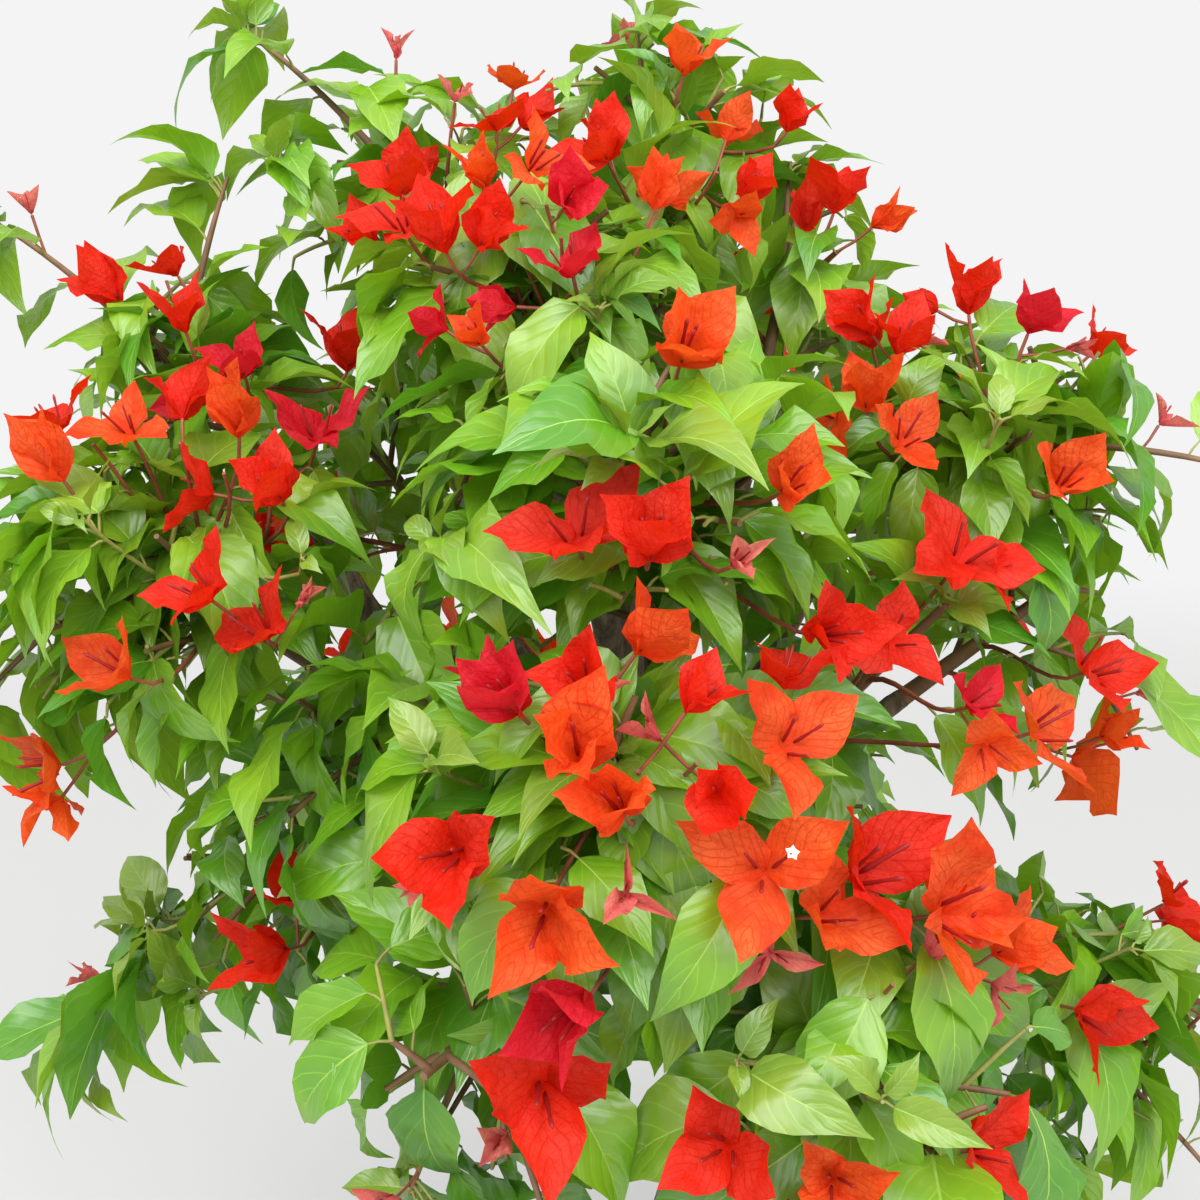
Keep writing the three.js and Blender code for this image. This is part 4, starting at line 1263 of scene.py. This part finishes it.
def grainy_material(name, colour, speckle, grain, roughness, depth):
    """Unglazed stoneware or potting mix: matt, with darker grains and a fine tooth."""
    material, tree, shader = new_material(name, roughness)
    place = add(tree, "ShaderNodeTexCoord").outputs["Object"]
    grains = add(tree, "ShaderNodeTexVoronoi", {"Vector": place, "Scale": 1 / grain}).outputs["Distance"]
    spots = add(tree, "ShaderNodeMapRange", {0: grains, 1: 0.12, 2: 0.3, 3: 0.85, 4: 0.0}).outputs[0]
    varied, _ = mottled(tree, place, colour, 40 * MM, 4, (0.3, 0.7), (0.82, 1.18))
    inputs = {"Factor": spots, 6: varied, 7: (*speckle, 1)}
    mixed = add(tree, "ShaderNodeMix", inputs, data_type="RGBA").outputs[2]
    # The tooth is drawn 1.5 mm wide, coarser than life, so that it shows.
    inputs = {"Vector": place, "Scale": 1 / (1.5 * MM), "Detail": 3}
    tooth = add(tree, "ShaderNodeTexNoise", inputs).outputs[0]
    bump = add(tree, "ShaderNodeBump", {"Height": tooth, "Strength": 0.4, "Distance": depth}).outputs[0]
    dress(tree, shader, mixed, bump)
    return material


# Limbs with bark relief, the pot and the soil


def limb_mesh(path, radius_at, sides, rows, relief):
    """Rings along a path, raised and cracked like bark, closed at both ends."""
    points, faces = [], []
    normal = sideways(path.heading(0), 0)
    for row in range(rows + 1):
        share = row / rows
        heading = path.heading(share)
        normal = (normal - heading * normal.dot(heading)).normalized()
        across = heading.cross(normal)
        centre = path.at(share)
        for side in range(sides):
            angle = math.tau * side / sides
            way = normal * math.cos(angle) + across * math.sin(angle)
            radius = radius_at(share, angle)
            skin = centre + way * radius
            grain = Vector((skin.x / RIDGE_WIDTH, skin.y / RIDGE_WIDTH, skin.z / RIDGE_LENGTH))
            ridge = noise.fractal(grain, 1.0, 2.0, 4) + 0.5 * noise.noise(skin / BARK_LUMPS)
            points.append(tuple(centre + way * (radius + relief * min(ridge, 0.5))))
    for row in range(rows):
        for side in range(sides):
            a, b = row * sides + side, row * sides + (side + 1) % sides
            faces.append((a, b, b + sides, a + sides))
    faces.append(tuple(reversed(range(sides))))
    faces.append(tuple(range(rows * sides, (rows + 1) * sides)))
    return points, faces


def joined_mesh(name, parts):
    """One smooth mesh from several lists of points and faces."""
    points, faces = [], []
    for more_points, more_faces in parts:
        first = len(points)
        points += more_points
        faces += [tuple(i + first for i in face) for face in more_faces]
    mesh = add_mesh(name, points, faces=faces)
    mesh.shade_smooth()
    return mesh


def turned_mesh(name, profile, sides):
    """An oval turned shape from a profile that starts and ends on the axis."""
    points = [(0, 0, profile[0][1])]
    rings = profile[1:-1]
    for radius, height in rings:
        for side in range(sides):
            angle = math.tau * side / sides
            points.append((OVAL * radius * math.cos(angle), radius * math.sin(angle), height))
    points.append((0, 0, profile[-1][1]))
    last = len(points) - 1
    faces = []
    for side in range(sides):
        after = (side + 1) % sides
        faces.append((0, 1 + after, 1 + side))
        for ring in range(len(rings) - 1):
            a, b = 1 + ring * sides + side, 1 + ring * sides + after
            faces.append((a, b, b + sides, a + sides))
        top = 1 + (len(rings) - 1) * sides
        faces.append((top + side, top + after, last))
    mesh = add_mesh(name, points, faces=faces)
    mesh.shade_smooth()
    return mesh


def rounded(profile, radius, steps=4):
    """A profile with its corners rounded, apart from its ends."""
    made = [profile[0]]
    for before, corner, after in zip(profile, profile[1:], profile[2:]):
        corner = Vector(corner)
        back, on = Vector(before) - corner, Vector(after) - corner
        reach = min(radius, back.length / 2, on.length / 2)
        start, end = corner + back.normalized() * reach, corner + on.normalized() * reach
        made += [tuple(point) for point in bezier([start, corner, end], steps).points]
    return [*made, profile[-1]]


PLANTS = []


def plant(context):
    """The grown plant, worked out once."""
    if not PLANTS:
        place_masses()
        leaf, bract = context.scene.bonsai_leaf, context.scene.bonsai_bract
        PLANTS.append(Plant(leaf.length / MM, bract.length / MM, leaf.droop))
        PLANTS[0].grow()
    return PLANTS[0]


def make_by_side(name, items, tree, values, points_of, replaced=False):
    """One joined piece of a kind for each side of the crown."""
    for side in SIDES:
        chosen = [item for item in items if item.side == side]
        if chosen:
            title = name + "_" + side
            mesh = settle(title, points_of(title + "_points", chosen), tree, values)
            foliage = ["foliage_" + mass.name for mass in MASSES if mass.side == side]
            finish_piece(title, mesh, foliage if replaced else ())


class BONSAI_OT_pot(bpy.types.Operator):
    """Make the oval stoneware pot"""

    bl_idname = "bonsai.pot"
    bl_label = "Pot"

    def execute(self, context):
        settings = context.scene.bonsai_pot
        wall = settings.wall / MM
        high, rim = POT_HIGH.z, RIM_RADIUS
        foot, waist, neck = rim * FOOT_SHARE, rim - WAIST_IN, rim - NECK_IN
        outside = [
            (0, 0), (foot, 0), (foot, FOOT_HEIGHT), (foot + FOOT_STEP, POT_FLOOR),
            (waist, WAIST_HEIGHT), (neck, high - NECK_DROP), (rim, high - RIM_DEPTH), (rim, high),
        ]
        inside = [
            (neck - wall, high), (waist - wall, WAIST_HEIGHT), (foot - wall / 2, POT_FLOOR), (0, POT_FLOOR),
        ]
        mesh = turned_mesh("pot_stoneware", rounded(outside + inside, POT_EDGE), POT_SIDES)
        clay = grainy_material("Unglazed stoneware", settings.clay, settings.speckle, grain=2.4 * MM,
                               roughness=0.72, depth=0.25 * MM)
        mesh.materials.append(clay)
        finish_piece("pot_stoneware", mesh, ["pot"])
        return {"FINISHED"}


class BONSAI_OT_soil(bpy.types.Operator):
    """Fill the pot with potting mix and scatter baked clay grains on it"""

    bl_idname = "bonsai.soil"
    bl_label = "Soil"

    def execute(self, context):
        settings = context.scene.bonsai_pot
        low, high = (Vector(corner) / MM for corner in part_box("soil"))
        edge = high.y - 2

        def height(share):
            return high.z - 1 - SOIL_DROP * max(0, share - SOIL_FLAT) / (1 - SOIL_FLAT)

        profile = [(0, low.z), (edge * 0.85, low.z), (edge, height(1) - 4)]
        profile += [(edge * tenth / 10, height(tenth / 10)) for tenth in range(10, 0, -1)]
        mesh = turned_mesh("potting_mix", [*profile, (0, height(0))], SOIL_SIDES)
        for vertex in mesh.vertices:
            if vertex.co.z > (height(1) - 1) * MM:
                vertex.co.z += noise.fractal(vertex.co / (9 * MM), 1.0, 2.0, 3) * 0.8 * MM
        earth = grainy_material("Damp potting mix", settings.soil, settings.grit, grain=3 * MM,
                                roughness=0.95, depth=1.2 * MM)
        mesh.materials.append(earth)
        finish_piece("potting_mix", mesh, ["soil"])
        chance = random.Random(SEED)
        grains = []
        while len(grains) < settings.grains:
            angle, share = chance.uniform(0, math.tau), GRAINS_WITHIN * math.sqrt(chance.random())
            place = Vector((OVAL * edge * share * math.cos(angle), edge * share * math.sin(angle), 0))
            if place.length > TRUNK_CLEARANCE * trunk_radius(0, angle):
                place.z = height(share) + 0.3
                way = Vector([chance.gauss(0, 1) for _ in range(3)]).normalized()
                size = chance.uniform(*GRAIN_SIZES)
                grains.append(Blade("soil", place, way, sideways(way, 1), size, chance.randrange(2)))
        shape = add_object("grain", tube_shape("grain", GRAIN_RINGS, 6))
        baked = grainy_material("Baked clay grit", settings.grit, settings.soil, grain=1.5 * MM,
                                roughness=0.95, depth=0.4 * MM)
        tree = blade_tree("Grains on soil", [baked, earth])
        mesh = settle("soil_grains", blade_points("soil_points", grains), tree, {"Blade": shape})
        finish_piece("soil_grains", mesh)
        bpy.data.objects.remove(shape)
        return {"FINISHED"}


class BONSAI_OT_limbs(bpy.types.Operator):
    """Make the trunk and boughs with the relief of their bark"""

    bl_idname = "bonsai.limbs"
    bl_label = "Trunk and boughs"

    def execute(self, context):
        settings = context.scene.bonsai_wood
        relief = settings.relief / MM
        grown = plant(context)
        bark = bark_material("Bougainvillea bark", settings.bark, settings.fissure)
        trunk = joined_mesh("trunk_bark", [limb_mesh(grown.limbs["trunk"][0], trunk_radius, 96, 200, relief)])
        trunk.materials.append(bark)
        finish_piece("trunk_bark", trunk, ["trunk"])
        parts = []
        for mass in MASSES:
            path, thick, thin = grown.limbs[mass.name]

            def radius_at(share, angle, thick=thick, thin=thin):
                return thick + (thin - thick) * share + 0.5 * math.sin(2 * angle + 11 * share)

            parts.append(limb_mesh(path, radius_at, 20, max(12, int(path.length / 3)), relief * 0.4))
        boughs = joined_mesh("bough_bark", parts)
        boughs.materials.append(bark)
        finish_piece("bough_bark", boughs, ["bough_" + mass.name for mass in MASSES])
        return {"FINISHED"}


class BONSAI_OT_twigs(bpy.types.Operator):
    """Grow the twigs, leaf stalks and flower stalks"""

    bl_idname = "bonsai.twigs"
    bl_label = "Twigs"

    def execute(self, context):
        settings = context.scene.bonsai_wood
        grown = plant(context)
        tree = twig_tree("Twigs along lines", [
            twig_material("Brown twig skin", settings.woody),
            twig_material("Red twig skin", settings.red),
            twig_material("Green twig skin", settings.green),
        ])
        make_by_side("twigs", grown.twigs, tree, {"Sides": 7}, twig_lines)
        make_by_side("stalks", grown.stalks, tree, {"Sides": 4}, twig_lines)
        return {"FINISHED"}


class BONSAI_OT_leaves(bpy.types.Operator):
    """Hang the leaves on the twigs"""

    bl_idname = "bonsai.leaves"
    bl_label = "Leaves"

    def execute(self, context):
        settings = context.scene.bonsai_leaf
        blades = [
            # The first three are copies of one leaf green: painted shade, a middle tone and painted light.
            leaf_blade_material("Green leaf in painted shade", settings.deep),
            leaf_blade_material("Full green leaf", settings.middle),
            leaf_blade_material("Green leaf in painted light", settings.bright),
            leaf_blade_material("Young yellow-green leaf", settings.young),
        ]
        rib = soft_material("Leaf midrib", settings.rib, 0.45)
        shape = add_object("leaf", blade_shape("leaf", LEAF_OUTLINE, LEAF_RIB))
        tree = blade_tree("Leaves on twigs", blades, rib)
        values = {"Blade": shape, "Ripple": RIPPLE}
        make_by_side("leaves", plant(context).leaves, tree, values, blade_points, True)
        bpy.data.objects.remove(shape)
        return {"FINISHED"}


class BONSAI_OT_bracts(bpy.types.Operator):
    """Open the papery bracts and the small flowers inside them"""

    bl_idname = "bonsai.bracts"
    bl_label = "Bracts and flowers"

    def execute(self, context):
        settings = context.scene.bonsai_bract
        grown = plant(context)
        papery = [
            bract_material("Orange bract", settings.orange),
            bract_material("Scarlet bract", settings.scarlet),
            bract_material("Crimson bract", settings.crimson),
            bract_material("Young pink bract", settings.pink),
        ]
        shape = add_object("bract", blade_shape("bract", BRACT_OUTLINE, BRACT_RIB))
        tree, values = blade_tree("Bracts in threes", papery), {"Blade": shape, "Ripple": RIPPLE}
        make_by_side("bracts", grown.bracts, tree, values, blade_points)
        tube = add_object("tube", tube_shape("tube", TUBE_RINGS, 6))
        tree = blade_tree("Flower tubes", [soft_material("Flower tube", settings.tube, 0.6)])
        make_by_side("tubes", grown.tubes, tree, {"Blade": tube}, blade_points)
        star = add_object("star", tube_shape("star", STAR_RINGS, 10, STAR_NOTCH))
        tree = blade_tree("Open flowers", [soft_material("Open flower", settings.star, 0.6)])
        make_by_side("stars", grown.stars, tree, {"Blade": star}, blade_points)
        for made in (shape, tube, star):
            bpy.data.objects.remove(made)
        return {"FINISHED"}


class BONSAI_OT_stage(bpy.types.Operator):
    """Set the pale floor, the soft lights and the camera"""

    bl_idname = "bonsai.stage"
    bl_label = "Stage"

    def execute(self, context):
        settings = context.scene.bonsai_stage
        scene = context.scene
        scene.view_settings.view_transform = "Standard"
        world = bpy.data.worlds.new("Pale surround")
        world.use_nodes = True
        world.node_tree.nodes["Background"].inputs["Color"].default_value = (*settings.sky, 1)
        scene.world = world
        self.add_floor(settings)
        self.add_light("Key softbox", KEY_PLACE, KEY_WIDTH, settings.key)
        self.add_light("Fill softbox", FILL_PLACE, FILL_WIDTH, settings.fill)
        self.add_camera(scene, settings)
        return {"FINISHED"}

    def add_floor(self, settings):
        """A wide floor that fades into the surround, so that no edge shows."""
        sides, rings = FLOOR_SIDES, FLOOR_RINGS
        points, faces = [(0, 0, 0)], [(0, 1 + i, 1 + (i + 1) % sides) for i in range(sides)]
        for radius in rings:
            for side in range(sides):
                angle = math.tau * side / sides
                points.append((radius / MM * math.cos(angle), radius / MM * math.sin(angle), 0))
        for ring in range(len(rings) - 1):
            for side in range(sides):
                a, b = 1 + ring * sides + side, 1 + ring * sides + (side + 1) % sides
                faces.append((a, a + sides, b + sides, b))
        floor = add_object("floor", add_mesh("floor", points, faces=faces))
        material, tree, shader = new_material("Pale matt floor", 0.95)
        shader.inputs["Base Color"].default_value = (*settings.floor, 1)
        place = add(tree, "ShaderNodeTexCoord").outputs["Object"]
        far = add(tree, "ShaderNodeVectorMath", {0: place}, operation="LENGTH").outputs["Value"]
        inputs = enumerate((far, *FLOOR_FADES))
        fade = add(tree, "ShaderNodeMapRange", inputs, interpolation_type="SMOOTHSTEP").outputs[0]
        clear = add(tree, "ShaderNodeBsdfTransparent").outputs[0]
        mixed = add(tree, "ShaderNodeMixShader", {"Fac": fade, 1: shader.outputs[0], 2: clear}).outputs[0]
        tree.links.new(mixed, tree.nodes["Material Output"].inputs["Surface"])
        floor.data.materials.append(material)

    def add_light(self, name, place, size, power):
        light = bpy.data.lights.new(name, "AREA")
        light.size = size
        light.energy = power
        lamp = add_object(name, light)
        lamp.visible_camera = False
        lamp.location = place
        lamp.rotation_euler = (LIT_PLACE - Vector(place)).to_track_quat("-Z", "Y").to_euler()

    def add_camera(self, scene, settings):
        """The camera looks a little down on the crown, which fills its frame."""
        camera = bpy.data.cameras.new("Camera")
        camera.angle = settings.view_angle
        camera.clip_start = 0.01
        view = add_object("Camera", camera)
        forward = Vector((0, math.cos(settings.tilt), -math.sin(settings.tilt)))
        view.location = CROWN_MIDDLE - forward * settings.distance
        view.rotation_euler = (math.pi / 2 - settings.tilt, 0, 0)
        scene.camera = view


class BONSAI_PT_sidebar(bpy.types.Panel):
    """Lists the steps that make the bonsai"""

    bl_idname = "BONSAI_PT_sidebar"
    bl_label = "Bonsai"
    bl_space_type = "VIEW_3D"
    bl_region_type = "UI"
    bl_category = "Bonsai"

    def draw(self, context):
        for step in STEPS:
            self.layout.operator(step.bl_idname)


SETTINGS = {
    "bonsai_leaf": BonsaiLeafSettings,
    "bonsai_bract": BonsaiBractSettings,
    "bonsai_wood": BonsaiWoodSettings,
    "bonsai_pot": BonsaiPotSettings,
    "bonsai_stage": BonsaiStageSettings,
}
STEPS = (
    BONSAI_OT_stage, BONSAI_OT_pot, BONSAI_OT_soil, BONSAI_OT_limbs, BONSAI_OT_twigs, BONSAI_OT_leaves,
    BONSAI_OT_bracts,
)


def register():
    for made in (*SETTINGS.values(), *STEPS, BONSAI_PT_sidebar):
        bpy.utils.register_class(made)
    for name, settings in SETTINGS.items():
        setattr(bpy.types.Scene, name, PointerProperty(type=settings))


def unregister():
    for name in SETTINGS:
        delattr(bpy.types.Scene, name)
    for made in reversed((*SETTINGS.values(), *STEPS, BONSAI_PT_sidebar)):
        bpy.utils.unregister_class(made)


def main():
    register()
    bpy.ops.bonsai.stage()
    bpy.ops.bonsai.pot()
    bpy.ops.bonsai.soil()
    bpy.ops.bonsai.limbs()
    bpy.ops.bonsai.twigs()
    bpy.ops.bonsai.leaves()
    bpy.ops.bonsai.bracts()


if __name__ == "__main__":
    main()
